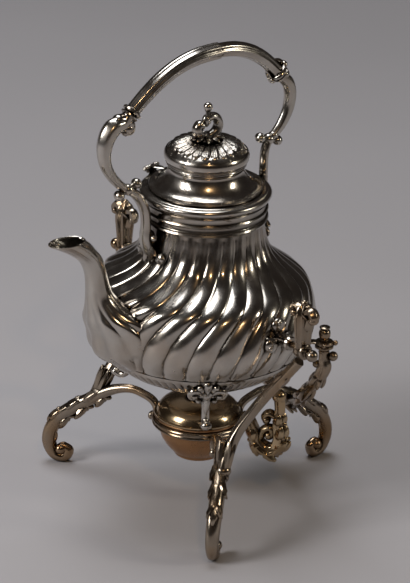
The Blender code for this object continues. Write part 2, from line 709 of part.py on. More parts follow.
def trefoil_boss_mesh(envelope):
    """Trefoil on the kettle's side with the blind socket that takes a pivot pin, on the near side."""
    out = Vector((0, -1, 0))
    place = Vector((PIVOT_BACK, 0, PIVOT_Z))
    socket = rod(place + out * BOSS_ROOT, place + out * BOSS_END, BOSS_RADIUS)
    leaves = []
    for turn in range(3):
        angle = math.radians(90 + 120 * turn)
        across = TREFOIL_SPREAD * math.cos(angle)
        z = TREFOIL_SPREAD * math.sin(angle)
        depth = math.sqrt(body_radius(PIVOT_Z + z) ** 2 - (PIVOT_BACK + across) ** 2)
        leaves.append(ball(place + Vector((across, -depth, z)), TREFOIL_RADIUS,
                           (1, TREFOIL_DEPTH / TREFOIL_RADIUS, 1)))
    boss = joined(socket, *leaves)
    bore = rod(place + out * (PIN_INNER - PIN_CLEARANCE), place + out * (BOSS_END + OVERRUN),
               PIN_RADIUS + PIN_CLEARANCE)
    return cut(boss, envelope, bore)


def pivot_pin_mesh():
    """Pivot pin with its collar and ball head, on the near side."""
    face = BRACKET_REACH + EYE_LENGTH / 2 + SEAT_GAP
    outline = [(0, PIN_INNER), (PIN_RADIUS, PIN_INNER), (PIN_RADIUS, face), (PIN_COLLAR_RADIUS, face),
               (PIN_COLLAR_RADIUS, face + PIN_COLLAR), (PIN_RADIUS, face + PIN_COLLAR * 1.2)]
    centre = face + PIN_COLLAR + PIN_BALL
    for step in range(1, 8):
        angle = math.pi * step / 8
        outline.append((PIN_BALL * math.sin(angle), centre - PIN_BALL * math.cos(angle)))
    outline.append((0, centre + PIN_BALL))
    return aimed(turned(outline, SMALL_STEPS), (PIVOT_BACK, 0, PIVOT_Z), (0, -1, 0))


def bracket_mesh():
    """Fluted pivot bracket on the near side: an eye, a trunk that widens upwards, a horn and a volute."""
    def branch(shares):
        return planar(shares, (BRACKET_REACH, PIVOT_Z), HORN_REACH, BRACKET_HEIGHT, BRACKET_BAR, BRACKET_WIDTH)

    side = Vector((0, 1, 0))
    trunk = swept(branch(TRUNK_SHARES), side)
    horn = swept(branch(HORN_SHARES), side)
    volute = swept(branch(VOLUTE_SHARES), side)
    half = EYE_LENGTH / 2
    eye = rod((BRACKET_REACH - half, 0, PIVOT_Z), (BRACKET_REACH + half, 0, PIVOT_Z), EYE_RADIUS, TURN_STEPS // 2)
    bore = rod((BRACKET_REACH - half - OVERRUN, 0, PIVOT_Z), (BRACKET_REACH + half + OVERRUN, 0, PIVOT_Z),
               PIN_RADIUS + PIN_CLEARANCE)
    mesh = cut(joined(eye, trunk, horn, volute), bore)
    return moved(mesh, Matrix.Translation((PIVOT_BACK, 0, 0)) @ Matrix.Rotation(math.radians(-90), 4, "Z"))


def leg_place(share, height, twist, azimuth):
    """Place on a leg, whose inner curl stays by the burner ring and whose plane turns by the twist."""
    inner = min(row[0] for row in LEG_SHARES)
    turn = azimuth - twist * (1 - share) / (1 - inner)
    radius = LEG_ROOT + (LEG_REACH - LEG_ROOT) * (share - LEG_ROOT_SHARE) / (1 - LEG_ROOT_SHARE)
    return (radius * math.cos(turn), radius * math.sin(turn), LEG_HEIGHT * height)


def leg_stations(twist, azimuth, grow=0.0):
    """Stations of a stand leg, from its foot to its inner end."""
    return smoothed([(*leg_place(share, height, twist, azimuth), LEG_BAR * thick + grow, LEG_BAR * 1.05 * wide + grow)
                     for share, height, thick, wide in LEG_SHARES])


def leg_side(azimuth):
    """Direction across a leg."""
    return Vector((-math.sin(azimuth), math.cos(azimuth), 0))


def leg_solid(twist, azimuth, grow=0.0):
    """Scroll bar of a leg with the leaf steps under its arch, grown all round by an amount."""
    steps = [ball(leg_place(share, height, twist, azimuth), LEAF_STEP_BAR + grow) for share, height in LEAF_STEP_SHARES]
    return joined(swept(leg_stations(twist, azimuth, grow), leg_side(azimuth)), *steps)


def leg_mesh(twist, azimuth):
    """Scroll leg: a curled foot cut flat where it stands, an arch and a curled inner end against the ring."""
    ring_seat = turned([(0, 0), (BURNER_RING_OUTER + SEAT_GAP, 0), (BURNER_RING_OUTER + SEAT_GAP, LEG_HEIGHT * 2),
                        (0, LEG_HEIGHT * 2)], FINE_STEPS)
    floor = turned([(0, -LEG_HEIGHT), (LEG_REACH * 2, -LEG_HEIGHT), (LEG_REACH * 2, 0), (0, 0)], SMALL_STEPS)
    return cut(leg_solid(twist, azimuth), ring_seat, floor)


def burner_ring_mesh():
    """Ring that the legs' inner ends hold and the burner's flange sits on."""
    low, high = BURNER_RING_LOW_Z, BURNER_RING_TOP_Z
    bevel = (BURNER_RING_OUTER - BURNER_RING_INNER) / 4
    return turned([(BURNER_RING_INNER, low), (BURNER_RING_OUTER - bevel, low), (BURNER_RING_OUTER, low + bevel),
                   (BURNER_RING_OUTER, high - bevel), (BURNER_RING_OUTER - bevel, high), (BURNER_RING_INNER, high)])


def post_mesh(leg_cutter):
    """Post from the near front leg up to the near pivot bracket."""
    height = PIVOT_Z - EYE_RADIUS - POST_LOW_Z
    spread = (BRACKET_REACH - POST_ROOT) / (1 - POST_ROOT_SHARE)
    stations = [(POST_REACH * x, -POST_ROOT - spread * (y - POST_ROOT_SHARE), POST_LOW_Z + height * z,
                 POST_BAR * thick, POST_BAR * wide) for x, y, z, thick, wide in POST_SHARES]
    post = swept(smoothed(stations), Vector((1, 0.3, 0)).normalized())
    half = EYE_LENGTH
    place = Vector((PIVOT_BACK, 0, PIVOT_Z))
    eye_seat = rod(place + Vector((0, -BRACKET_REACH - half, 0)), place + Vector((0, -BRACKET_REACH + half, 0)),
                   EYE_RADIUS + SEAT_GAP, TURN_STEPS // 2)
    return cut(post, leg_cutter, eye_seat)


def rear_arm_mesh(leg_cutter):
    """Arm from the rear leg round to the near side, with a ball at its neck and a seat plate on top."""
    height = ARM_TOP_Z - ARM_LOW_Z
    stations = []
    for reach, turn, rise, thick in ARM_SHARES:
        angle = -ARM_AZIMUTH * turn
        stations.append((ARM_REACH * reach * math.cos(angle), ARM_REACH * reach * math.sin(angle),
                         ARM_LOW_Z + height * rise, ARM_BAR * thick, ARM_BAR * thick))
    arm = swept(smoothed(stations), Vector((0, 0, 1)).cross(Vector((1, -1, 0))).normalized())
    centre = Vector((ARM_REACH * math.cos(-ARM_AZIMUTH), ARM_REACH * math.sin(-ARM_AZIMUTH), 0))
    plate = moved(turned([(0, 0), (PLATE_RADIUS, 0), (PLATE_RADIUS, PLATE_THICKNESS), (0, PLATE_THICKNESS)],
                         SMALL_STEPS), Matrix.Translation(centre + Vector((0, 0, ARM_TOP_Z))))
    out = centre.normalized()
    knob_z = ARM_LOW_Z + height * ARM_BALL_SHARE
    knob = ball(centre + out * (ARM_BAR + ARM_BALL * 0.6) + Vector((0, 0, knob_z)), ARM_BALL)
    return cut(joined(arm, plate, knob), leg_cutter)


def rest_lug_mesh(envelope):
    """Lug behind the kettle that rests on an arm's seat plate, with a barrel finial, on the near side."""
    low = ARM_TOP_Z + PLATE_THICKNESS + SEAT_GAP
    high = low + LUG_THICKNESS
    disc = moved(turned([(0, low), (PLATE_RADIUS, low), (PLATE_RADIUS, high), (0, high)], SMALL_STEPS),
                 Matrix.Translation((ARM_REACH, 0, 0)))
    tongue_bar = LUG_THICKNESS * 0.96 / 2
    tongue = swept([(ARM_REACH - LUG_LENGTH, 0, (low + high) / 2, tongue_bar, LUG_WIDTH / 2),
                    (ARM_REACH, 0, (low + high) / 2, tongue_bar, LUG_WIDTH / 2)], Vector((0, 1, 0)), round_ends=False)
    barrel_outline = [(0, high - LUG_THICKNESS / 2)]
    barrel_outline += [(BARREL_RADIUS * out, high - LUG_THICKNESS / 4 + BARREL_HEIGHT * rise)
                       for out, rise in BARREL_SHARES]
    barrel_outline.append((0, high - LUG_THICKNESS / 4 + BARREL_HEIGHT))
    barrel = moved(turned(barrel_outline, SMALL_STEPS), Matrix.Translation((ARM_REACH, 0, 0)))
    lug = cut(joined(disc, tongue, barrel), envelope)
    return at_azimuth(lug, -ARM_AZIMUTH)


def grip_stations():
    """Stations along the lobed grip, from front to rear."""
    rise = HANDLE_TOP_Z - GRIP_END_Z
    return smoothed([(HANDLE_REACH * x, 0, GRIP_END_Z + rise * z, GRIP_RADIUS, GRIP_RADIUS) for x, z in GRIP_SHARES])


def collar_mesh(place, direction):
    """Double-bead collar whose lower face is at a place, along a direction."""
    outline = [(0, 0)]
    outline += [(COLLAR_RADIUS * out, COLLAR_LENGTH * rise) for out, rise in COLLAR_SHARES]
    outline.append((0, COLLAR_LENGTH))
    return aimed(turned(outline, TURN_STEPS // 2), place, direction)


def handle_pieces():
    """Grip, collars and arms, seated end to end."""
    side = Vector((0, 1, 0))
    stations = grip_stations()
    grip = swept(stations, side, sides=2 * GRIP_LOBES, lobes=GRIP_LOBES, lobe_share=GRIP_LOBE_SHARE, round_ends=False)
    meshes = {"grip": grip}
    rise = GRIP_END_Z - FRONT_JOINT_Z
    ends = (("front", stations[0], stations[1], FRONT_JOINT_X, FRONT_JOINT_Z, -1, ARM_FRONT_BULGE, ARM_FRONT_BAR,
             ARM_FRONT_SHARES),
            ("rear", stations[-1], stations[-2], REAR_JOINT_X, REAR_JOINT_Z, 1, ARM_REAR_BULGE, ARM_REAR_BAR,
             ARM_REAR_SHARES))
    for name, end, inside, joint_x, joint_z, sign, bulge, bar, shares in ends:
        out = (Vector(end[:3]) - Vector(inside[:3])).normalized()
        start = Vector(end[:3]) + out * SEAT_GAP
        meshes["grip_collar_" + name] = collar_mesh(start, out)
        arm_start = start + out * (COLLAR_LENGTH + SEAT_GAP)
        rise = arm_start.z - joint_z
        path = [(arm_start.x, 0, arm_start.z, bar * 0.66, bar * 0.66)]
        path += [(joint_x + sign * bulge * x, 0, joint_z + rise * z, bar * thick, bar * thick)
                 for x, z, thick in shares]
        arm = swept(smoothed(path), side)
        past_collar = rod(arm_start - out * (COLLAR_LENGTH + SEAT_GAP), arm_start, COLLAR_RADIUS * 1.5)
        knot = ball((joint_x, 0, joint_z), KNOT_RADIUS + SEAT_GAP)
        bar_cut = volute_bar(joint_x, joint_z, sign, SEAT_GAP)
        meshes["handle_arm_" + name] = cut(arm, past_collar, knot, bar_cut)
    return meshes


def volute_bar(joint_x, joint_z, sign, gap):
    """Short cross bar at a handle joint, which carries a ball at each end."""
    lean = Vector((sign * 0.92, 0, -0.39)) if sign < 0 else Vector((sign * 0.95, 0, -0.3))
    lean = lean.normalized() * (2 * KNOT_RADIUS)
    place = Vector((joint_x, 0, joint_z))
    bar = rod(place - lean, place + lean, VOLUTE_BAR + gap)
    return joined(bar, ball(place - lean, VOLUTE_BALL + gap), ball(place + lean, VOLUTE_BALL + gap))


def handle_bracket_mesh(envelope, sign, joint_x, joint_z, inner, shares):
    """Bracket from the kettle's shoulder, past the rim, up to a handle joint."""
    reach = abs(joint_x) - inner
    height = joint_z - BRACKET_ROOT_Z
    stations = [(sign * (inner + reach * x), 0, BRACKET_ROOT_Z + height * z, BRACKET_BAR_SIZE * thick,
                 BRACKET_BAR_SIZE * wide) for x, z, thick, wide in shares]
    bracket = swept(smoothed(stations), Vector((0, 1, 0)))
    knot = ball((joint_x, 0, joint_z), KNOT_RADIUS)
    leaf_x = sign * math.sqrt(body_radius(SHOULDER_LEAF_Z) ** 2 - SHOULDER_LEAF_SPREAD ** 2)
    parts = [knot, volute_bar(joint_x, joint_z, sign, 0)]
    parts += [ball((leaf_x, side * SHOULDER_LEAF_SPREAD, SHOULDER_LEAF_Z), SHOULDER_LEAF, (0.65, 1.3, 1))
              for side in (-1, 1)]
    if sign < 0:
        parts.append(ball((-SHOULDER_KNOB_X, 0, SHOULDER_KNOB_Z), SHOULDER_KNOB))
    return cut(joined(bracket, *parts), envelope)


def lid_base_mesh():
    """Dished flange of the lid, with its neck above and the bezel that drops into the rim."""
    low = RING_TOP_Z + SEAT_GAP
    top = low + LID_FLANGE
    rise = LID_NECK_Z - top
    run = LID_RADIUS - LID_NECK_RADIUS
    slope = [(LID_NECK_RADIUS + run * out, top + rise * share) for out, share in LID_SLOPE_SHARES]
    under = [(radius - LID_SHELL, z - LID_SHELL * 0.4) for radius, z in reversed(slope[1:-1])]
    outline = [(BEZEL_RADIUS, low - BEZEL_DEPTH), (BEZEL_RADIUS, low), (LID_RADIUS, low), (LID_RADIUS, top)]
    outline += slope
    outline += [(slope[-1][0] - LID_SHELL, LID_NECK_Z)] + under
    outline += [(BEZEL_RADIUS - LID_SHELL, low), (BEZEL_RADIUS - LID_SHELL, low - BEZEL_DEPTH)]
    return turned(outline, FINE_STEPS)


def lid_dome_mesh():
    """Low dome over a plain band, with leaves that radiate from the finial."""
    sides = 2
    count = DOME_LEAVES * sides
    low = LID_NECK_Z + SEAT_GAP
    band = DOME_BAND_Z - low
    rise = DOME_TOP_Z - DOME_BAND_Z
    run = DOME_RADIUS - DOME_TOP_RADIUS
    bm = bmesh.new()

    def row(radius, z, leaf):
        ring = []
        for k in range(count):
            angle = math.tau * k / count
            groove = 1 - abs(math.cos(math.pi * (k % sides) / sides))
            ring.append(bm.verts.new((radius * math.cos(angle), radius * math.sin(angle), z - leaf * groove)))
        return ring

    hole = FINIAL_STEM + PIN_CLEARANCE
    neck = LID_NECK_RADIUS
    rows = [row(neck - LID_SHELL, low, 0), row(neck + LID_SHELL, low, 0), row(neck + LID_SHELL, low + band * 0.2, 0),
            row(DOME_RADIUS - LID_SHELL / 4, low + band * 0.35, 0), row(DOME_RADIUS, low + band * 0.85, 0)]
    for out, share in DOME_SHARES:
        leaf = LEAF_DEPTH if 0 < out < 1 else 0
        rows.append(row(DOME_TOP_RADIUS + run * out - (LID_SHELL / 6 if out == 1 else 0), DOME_BAND_Z + rise * share, leaf))
    rows.append(row(hole, DOME_TOP_Z, 0))
    rows.append(row(hole, DOME_TOP_Z - LID_SHELL, 0))
    for out, share in reversed(DOME_SHARES[:-1]):
        rows.append(row(DOME_TOP_RADIUS + run * out - LID_SHELL, DOME_BAND_Z + rise * share - LID_SHELL, 0))
    rows.append(row(neck - LID_SHELL, low + band * 0.35, 0))
    for inner, outer in zip(rows, rows[1:] + rows[:1]):
        for i in range(count):
            j = (i + 1) % count
            bm.faces.new((inner[i], inner[j], outer[j], outer[i]))
    return mesh_of(bm)


def finial_mesh():
    """Scroll finial: a leafy foot, a curl with a ball, a curl that carries the tip, and its threaded stem."""
    low = DOME_TOP_Z + SEAT_GAP
    height = FINIAL_TIP_Z - low
    foot = turned([(0, low), (DOME_TOP_RADIUS * 0.95, low), (FINIAL_BASE_RADIUS * 0.8, low + FINIAL_BASE_HEIGHT * 0.35),
                   (FINIAL_BASE_RADIUS * 0.72, low + FINIAL_BASE_HEIGHT * 0.6),
                   (FINIAL_BASE_RADIUS * 0.4, low + FINIAL_BASE_HEIGHT), (0, low + FINIAL_BASE_HEIGHT)], SMALL_STEPS)

    def curl(shares):
        stations = [(FINIAL_SPREAD * x, 0, low + height * z, FINIAL_BAR * thick, FINIAL_BAR * thick)
                    for x, z, thick in shares]
        return swept(smoothed(stations), Vector((0, 1, 0)))

    stem_low = DOME_TOP_Z - LID_SHELL - 2 * FINIAL_NUT_HEIGHT
    stem = rod((0, 0, stem_low), (0, 0, low + FINIAL_BASE_HEIGHT / 2), FINIAL_STEM)
    left_x, left_z, _ = FINIAL_LEFT_SHARES[-1]
    ball_left = ball((FINIAL_SPREAD * left_x, 0, low + height * left_z), FINIAL_BALL)
    tip_z = FINIAL_TIP_Z - FINIAL_TIP_BALL
    tip = ball((0, 0, tip_z), FINIAL_TIP_BALL)
    tip_stem = rod((0, 0, low + height * 0.7), (0, 0, tip_z), FINIAL_STEM)
    bead = ball((0, 0, low + height * 0.72), FINIAL_TIP_BALL, (1, 1, 0.6))
    return joined(foot, curl(FINIAL_LEFT_SHARES), curl(FINIAL_RIGHT_SHARES), ball_left, stem, tip_stem, bead, tip)


def finial_nut_mesh():
    """Nut that holds the finial from inside the dome."""
    high = DOME_TOP_Z - LID_SHELL - SEAT_GAP
    low = high - FINIAL_NUT_HEIGHT
    bore = FINIAL_STEM + PIN_CLEARANCE
    return turned([(bore, low), (FINIAL_NUT_RADIUS, low), (FINIAL_NUT_RADIUS, high), (bore, high)], 6 * 2)


def hinge_frame(mesh):
    """Move hinge pieces drawn along Y behind +X to the hinge's azimuth."""
    return at_azimuth(mesh, HINGE_AZIMUTH)


def hinge_meshes():
    """Fixed knuckles with their leaf, the lid's knuckle with its tab, and the pin."""
    place = Vector((HINGE_REACH, 0, HINGE_Z))
    along = Vector((0, 1, 0))
    half = KNUCKLE_LENGTH / 2
    outer = half + SEAT_GAP + KNUCKLE_LENGTH
    bore = rod(place - along * (outer + OVERRUN), place + along * (outer + OVERRUN),
               HINGE_PIN_RADIUS + PIN_CLEARANCE, 12)

    def knuckle(start, end):
        return rod(place + along * start, place + along * end, KNUCKLE_RADIUS, 12)

    def block(x0, x1, y0, y1, z0, z1):
        bm = bmesh.new()
        bmesh.ops.create_cube(bm, size=1)
        mesh = mesh_of(bm)
        centre = Vector(((x0 + x1) / 2, (y0 + y1) / 2, (z0 + z1) / 2))
        return moved(mesh, Matrix.Translation(centre) @ Matrix.Diagonal((x1 - x0, y1 - y0, z1 - z0, 1)))

    ring_outer = NECK_RADIUS + SEAT_GAP + RING_FLARE
    leaf_high = HINGE_Z
    leaf_low = RING_LOW_Z + (RING_TOP_Z - RING_LOW_Z) * 0.84 - HINGE_LEAF
    seat = turned([(0, leaf_low - OVERRUN), (ring_outer + SEAT_GAP, leaf_low - OVERRUN),
                   (ring_outer + SEAT_GAP, leaf_high + OVERRUN), (0, leaf_high + OVERRUN)], 2 * FINE_STEPS)
    leaf = block(HINGE_REACH - KNUCKLE_RADIUS - HINGE_LEAF, HINGE_REACH, -outer, outer, leaf_low,
                 HINGE_Z - KNUCKLE_RADIUS * 0.6)
    swing = rod(place - along * (half + SEAT_GAP), place + along * (half + SEAT_GAP), KNUCKLE_RADIUS + SEAT_GAP, 12)
    bracket = joined(leaf, knuckle(-outer, -half - SEAT_GAP), knuckle(half + SEAT_GAP, outer))
    bracket = cut(bracket, seat, swing, bore)
    tab_low = RING_TOP_Z + SEAT_GAP + LID_FLANGE + SEAT_GAP
    tab = block(HINGE_TAB_INNER, HINGE_REACH, -half, half, tab_low, tab_low + HINGE_LEAF)
    lid_leaf = cut(joined(knuckle(-half, half), tab), bore)
    pin = rod(place - along * outer, place + along * outer, HINGE_PIN_RADIUS, 12)
    return hinge_frame(bracket), hinge_frame(lid_leaf), hinge_frame(pin)


def burner_bowl_mesh():
    """Open bowl of the burner, with its rim flange."""
    low = BOWL_BASE_Z
    rim = BURNER_RING_TOP_Z + SEAT_GAP
    depth = rim - low
    run = BOWL_RADIUS - BOWL_BASE_RADIUS
    wall = [(BOWL_BASE_RADIUS + run * out, low + depth * rise) for out, rise in BOWL_SHARES]
    outline = [(0, low)] + wall + [(BOWL_RADIUS, rim), (FLANGE_RADIUS, rim),
                                   (FLANGE_RADIUS, rim + FLANGE_THICKNESS),
                                   (BOWL_RADIUS - BOWL_WALL, rim + FLANGE_THICKNESS)]
    outline += [(radius - BOWL_WALL, max(z, low + BOWL_WALL)) for radius, z in reversed(wall)]
    outline.append((0, low + BOWL_WALL))
    return turned(outline)


def burner_top_mesh():
    """Domed top of the burner with its flange and the well round the wick."""
    low = BURNER_RING_TOP_Z + FLANGE_THICKNESS + 2 * SEAT_GAP
    shoulder = low + FLANGE_THICKNESS
    rise = TOP_Z - shoulder
    run = TOP_RADIUS - WELL_RADIUS
    dome = [(WELL_RADIUS + run * out, shoulder + rise * share) for out, share in TOP_SHARES]
    hole = WICK_TUBE_RADIUS + PIN_CLEARANCE
    outline = [(TOP_RADIUS - 2 * BOWL_WALL, low), (FLANGE_RADIUS, low), (FLANGE_RADIUS, shoulder)] + dome
    outline += [(WELL_RADIUS, WELL_Z), (hole, WELL_Z), (hole, WELL_Z - BOWL_WALL),
                (WELL_RADIUS + BOWL_WALL, WELL_Z - BOWL_WALL)]
    outline += [(radius - BOWL_WALL, z - BOWL_WALL) for radius, z in reversed(dome[:-2])]
    return turned(outline)


def burner_handle_mesh():
    """Scroll handle on the burner's side, which curls out and up to a ball."""
    stations = [(BURNER_HANDLE_REACH * x, 0, BURNER_HANDLE_HEIGHT * z, BURNER_HANDLE_BAR * thick,
                 BURNER_HANDLE_BAR * wide) for x, z, thick, wide in BURNER_HANDLE_SHARES]
    handle = swept(smoothed(stations), Vector((0, 1, 0)))
    low = BURNER_RING_TOP_Z + FLANGE_THICKNESS + 2 * SEAT_GAP
    shoulder = low + FLANGE_THICKNESS
    seat = turned([(0, low - LEG_HEIGHT), (FLANGE_RADIUS + SEAT_GAP, low - LEG_HEIGHT),
                   (FLANGE_RADIUS + SEAT_GAP, shoulder + SEAT_GAP), (TOP_RADIUS + SEAT_GAP, shoulder + SEAT_GAP),
                   (TOP_RADIUS + SEAT_GAP, TOP_Z + OVERRUN), (0, TOP_Z + OVERRUN)], 2 * TURN_STEPS)
    return at_azimuth(cut(handle, seat), BURNER_HANDLE_AZIMUTH)


def wick_tube_mesh():
    """Tube through the burner's top that holds the wick, with the collar that it hangs by."""
    low = WELL_Z + SEAT_GAP - WICK_TUBE_LENGTH
    seat = WELL_Z + SEAT_GAP
    bore = WICK_RADIUS + PIN_CLEARANCE
    return turned([(bore, low), (WICK_TUBE_RADIUS, low), (WICK_TUBE_RADIUS, seat), (WICK_TUBE_FLANGE, seat),
                   (WICK_TUBE_FLANGE, seat + BOWL_WALL / 2), (bore, seat + BOWL_WALL / 2)], SMALL_STEPS)


def wick_mesh():
    """Round cotton wick."""
    high = WELL_Z + 2 * BOWL_WALL
    return rod((0, 0, WICK_BASE_Z), (0, 0, high), WICK_RADIUS)


def snuffer_cap_mesh():
    """Domed cap that covers the wick."""
    low = WELL_Z + SEAT_GAP
    shoulder = low + (CAP_TOP_Z - low) * 0.6
    inner = CAP_RADIUS - CAP_WALL
    return turned([(inner, low), (CAP_RADIUS, low), (CAP_RADIUS, shoulder), (CAP_RADIUS * 0.7, CAP_TOP_Z - CAP_WALL / 2),
                   (0, CAP_TOP_Z), (0, CAP_TOP_Z - CAP_WALL), (inner * 0.68, CAP_TOP_Z - CAP_WALL * 1.5),
                   (inner, shoulder - CAP_WALL / 2)], SMALL_STEPS)


def build_kettle(group):
    """Pieces that tilt together."""
    envelope = kettle_envelope(SEAT_GAP)
    strainer = rod((-BASE_RADIUS, 0, STRAINER_Z), (-BODY_RADIUS - OVERRUN, 0, STRAINER_Z), STRAINER_RADIUS)
    piece("kettle_body", cut(kettle_body_mesh(), strainer), SILVER, group)
    piece("base_band", base_band_mesh(), SILVER, group)
    piece("neck_ring", neck_ring_mesh(), SILVER, group)
    piece("spout", spout_mesh(envelope), SILVER, group)
    foot = foot_mesh(envelope)
    for name, azimuth in (("rear", 0), ("near", -FOOT_AZIMUTH), ("far", FOOT_AZIMUTH)):
        piece("kettle_foot_" + name, at_azimuth(foot.copy(), azimuth), SILVER, group)
    boss = trefoil_boss_mesh(envelope)
    piece("pivot_boss_near", boss, SILVER, group)
    piece("pivot_boss_far", mirrored(boss), SILVER, group)
    lug = rest_lug_mesh(envelope)
    piece("rest_lug_near", lug, SILVER, group)
    piece("rest_lug_far", mirrored(lug), SILVER, group)
    piece("handle_bracket_front", handle_bracket_mesh(envelope, -1, FRONT_JOINT_X, FRONT_JOINT_Z,
                                                      FRONT_BRACKET_INNER, FRONT_BRACKET_SHARES), SILVER, group)
    piece("handle_bracket_rear", handle_bracket_mesh(envelope, 1, REAR_JOINT_X, REAR_JOINT_Z, REAR_BRACKET_INNER,
                                                     REAR_BRACKET_SHARES), SILVER, group)
    for name, mesh in handle_pieces().items():
        piece(name, mesh, SILVER, group)


def build_lid(kettle, group):
    """Lid, with its hinge on the far side of the rim."""
    bracket, leaf, pin = hinge_meshes()
    piece("hinge_bracket", bracket, SILVER, kettle)
    piece("hinge_pin", pin, SILVER, kettle)
    piece("hinge_leaf", leaf, SILVER, group)
    piece("lid_base", lid_base_mesh(), SILVER, group)
    piece("lid_dome", lid_dome_mesh(), SILVER, group)
    piece("finial", finial_mesh(), SILVER, group)
    piece("finial_nut", finial_nut_mesh(), BRASS, group)


def build_stand(group):
    """Legs, burner ring, posts, brackets and rear arms."""
    piece("leg_rear", leg_mesh(0, 0), STAND_SILVER, group)
    near = leg_mesh(-LEG_TWIST, -LEG_AZIMUTH)
    piece("leg_near", near, STAND_SILVER, group)
    piece("leg_far", mirrored(near), STAND_SILVER, group)
    piece("burner_ring", burner_ring_mesh(), STAND_SILVER, group)
    post = post_mesh(leg_solid(-LEG_TWIST, -LEG_AZIMUTH, SEAT_GAP))
    piece("post_near", post, STAND_SILVER, group)
    piece("post_far", mirrored(post), STAND_SILVER, group)
    bracket = bracket_mesh()
    piece("bracket_near", bracket, STAND_SILVER, group)
    piece("bracket_far", mirrored(bracket), STAND_SILVER, group)
    arm = rear_arm_mesh(leg_solid(0, 0, SEAT_GAP))
    piece("rear_arm_near", arm, STAND_SILVER, group)
    piece("rear_arm_far", mirrored(arm), STAND_SILVER, group)


def build_pins(near, far):
    """Pivot pins, each on its own empty because each pulls out by itself."""
    pin = pivot_pin_mesh()
    piece("pivot_pin_near", pin, STAND_SILVER, near)
    piece("pivot_pin_far", mirrored(pin), STAND_SILVER, far)


def build_burner(group, cap_group):
    """Spirit burner and its snuffer cap."""
    piece("burner_bowl", burner_bowl_mesh(), COPPER, group)
    piece("burner_top", burner_top_mesh(), BRASS, group)
    piece("burner_handle", burner_handle_mesh(), BRASS, group)
    piece("wick_tube", wick_tube_mesh(), BRASS, group)
    piece("wick", wick_mesh(), COTTON, group)
    piece("snuffer_cap", snuffer_cap_mesh(), BRASS, cap_group)


def main():
    clear_scene()
    stand = empty("stand", (AXIS_X, 0, 0))
    pivot = empty("kettle_pivot", (AXIS_X + PIVOT_BACK, 0, PIVOT_Z), stand)
    hinge_place = Vector((AXIS_X + HINGE_REACH * math.cos(HINGE_AZIMUTH), HINGE_REACH * math.sin(HINGE_AZIMUTH),
                          HINGE_Z))
    lid = empty("lid_hinge", hinge_place, pivot)
    pin_near = empty("pin_near_slide", (AXIS_X + PIVOT_BACK, -BRACKET_REACH, PIVOT_Z), stand)
    pin_far = empty("pin_far_slide", (AXIS_X + PIVOT_BACK, BRACKET_REACH, PIVOT_Z), stand)
    burner = empty("burner_lift", (AXIS_X, 0, BURNER_RING_TOP_Z), stand)
    cap = empty("cap_lift", (AXIS_X, 0, WELL_Z), burner)
    build_stand(stand)
    build_pins(pin_near, pin_far)
    build_kettle(pivot)
    build_lid(pivot, lid)
    build_burner(burner, cap)


main()
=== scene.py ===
"""Looks of the silver table samovar: finishes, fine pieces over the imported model, lights, floor and camera."""

import json
import math

import bmesh
import bpy
from bpy.props import FloatProperty, FloatVectorProperty, IntProperty, PointerProperty
from mathutils import Matrix, Vector


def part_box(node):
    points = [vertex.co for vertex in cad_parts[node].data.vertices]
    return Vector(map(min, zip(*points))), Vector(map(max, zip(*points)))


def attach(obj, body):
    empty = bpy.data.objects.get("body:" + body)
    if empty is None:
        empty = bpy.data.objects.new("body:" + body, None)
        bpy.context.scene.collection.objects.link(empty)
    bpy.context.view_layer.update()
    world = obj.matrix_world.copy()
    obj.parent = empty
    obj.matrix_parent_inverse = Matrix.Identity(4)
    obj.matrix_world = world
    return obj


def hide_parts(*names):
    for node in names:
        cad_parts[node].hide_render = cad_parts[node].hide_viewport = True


bl_info = {
    "name": "Silver Table Samovar",
    "version": (1, 0, 0),
    "blender": (4, 5, 0),
    "location": "3D View > Sidebar > Samovar",
    "description": "Dresses the packed samovar with its fine pieces and finishes, and sets its stage",
    "category": "Object",
}

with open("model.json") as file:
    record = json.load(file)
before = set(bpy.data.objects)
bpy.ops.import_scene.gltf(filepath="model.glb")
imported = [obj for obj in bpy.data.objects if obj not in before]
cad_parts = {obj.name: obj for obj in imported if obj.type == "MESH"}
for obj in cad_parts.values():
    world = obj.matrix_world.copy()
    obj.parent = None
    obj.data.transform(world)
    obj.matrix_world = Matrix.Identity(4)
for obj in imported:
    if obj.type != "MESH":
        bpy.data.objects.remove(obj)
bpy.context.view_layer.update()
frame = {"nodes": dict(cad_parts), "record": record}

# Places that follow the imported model, in metres
AXIS_X = (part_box("burner_ring")[0].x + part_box("burner_ring")[1].x) / 2
BASE_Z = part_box("kettle_body")[0].z
NECK_TOP_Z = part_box("kettle_body")[1].z

# Kettle outline over the crests of its lobes: height, radius
BODY_OUTLINE = [(0.118, 0.0458), (0.1212, 0.0575), (0.1243, 0.0629), (0.1295, 0.0703), (0.1341, 0.0755),
                (0.1385, 0.0806), (0.142, 0.0842), (0.1465, 0.0885), (0.151, 0.0917), (0.155, 0.0941),
                (0.160, 0.0963), (0.1650, 0.0980), (0.172, 0.0989), (0.180, 0.0984), (0.190, 0.0966),
                (0.1985, 0.0941), (0.2043, 0.0913), (0.2093, 0.0866), (0.2143, 0.0798), (0.2198, 0.0719),
                (0.2254, 0.0651), (0.2321, 0.0592), (0.2400, 0.0555), (0.2478, 0.0533), (0.2560, 0.0517),
                (0.2632, 0.0501), (0.2700, 0.0495), (0.2765, 0.0495), (0.2833, 0.0495)]
LOBE_LOW_Z = 0.1455
LOBE_HIGH_Z = 0.262

# Turn of the lobes as a share of the whole: height, share
TWIST_SHARES = [(0.149, 0.0), (0.165, 0.05), (0.18, 0.14), (0.19, 0.24), (0.2, 0.37), (0.21, 0.54), (0.22, 0.71),
                (0.23, 0.84), (0.24, 0.93), (0.25, 0.98), (0.262, 1.0)]

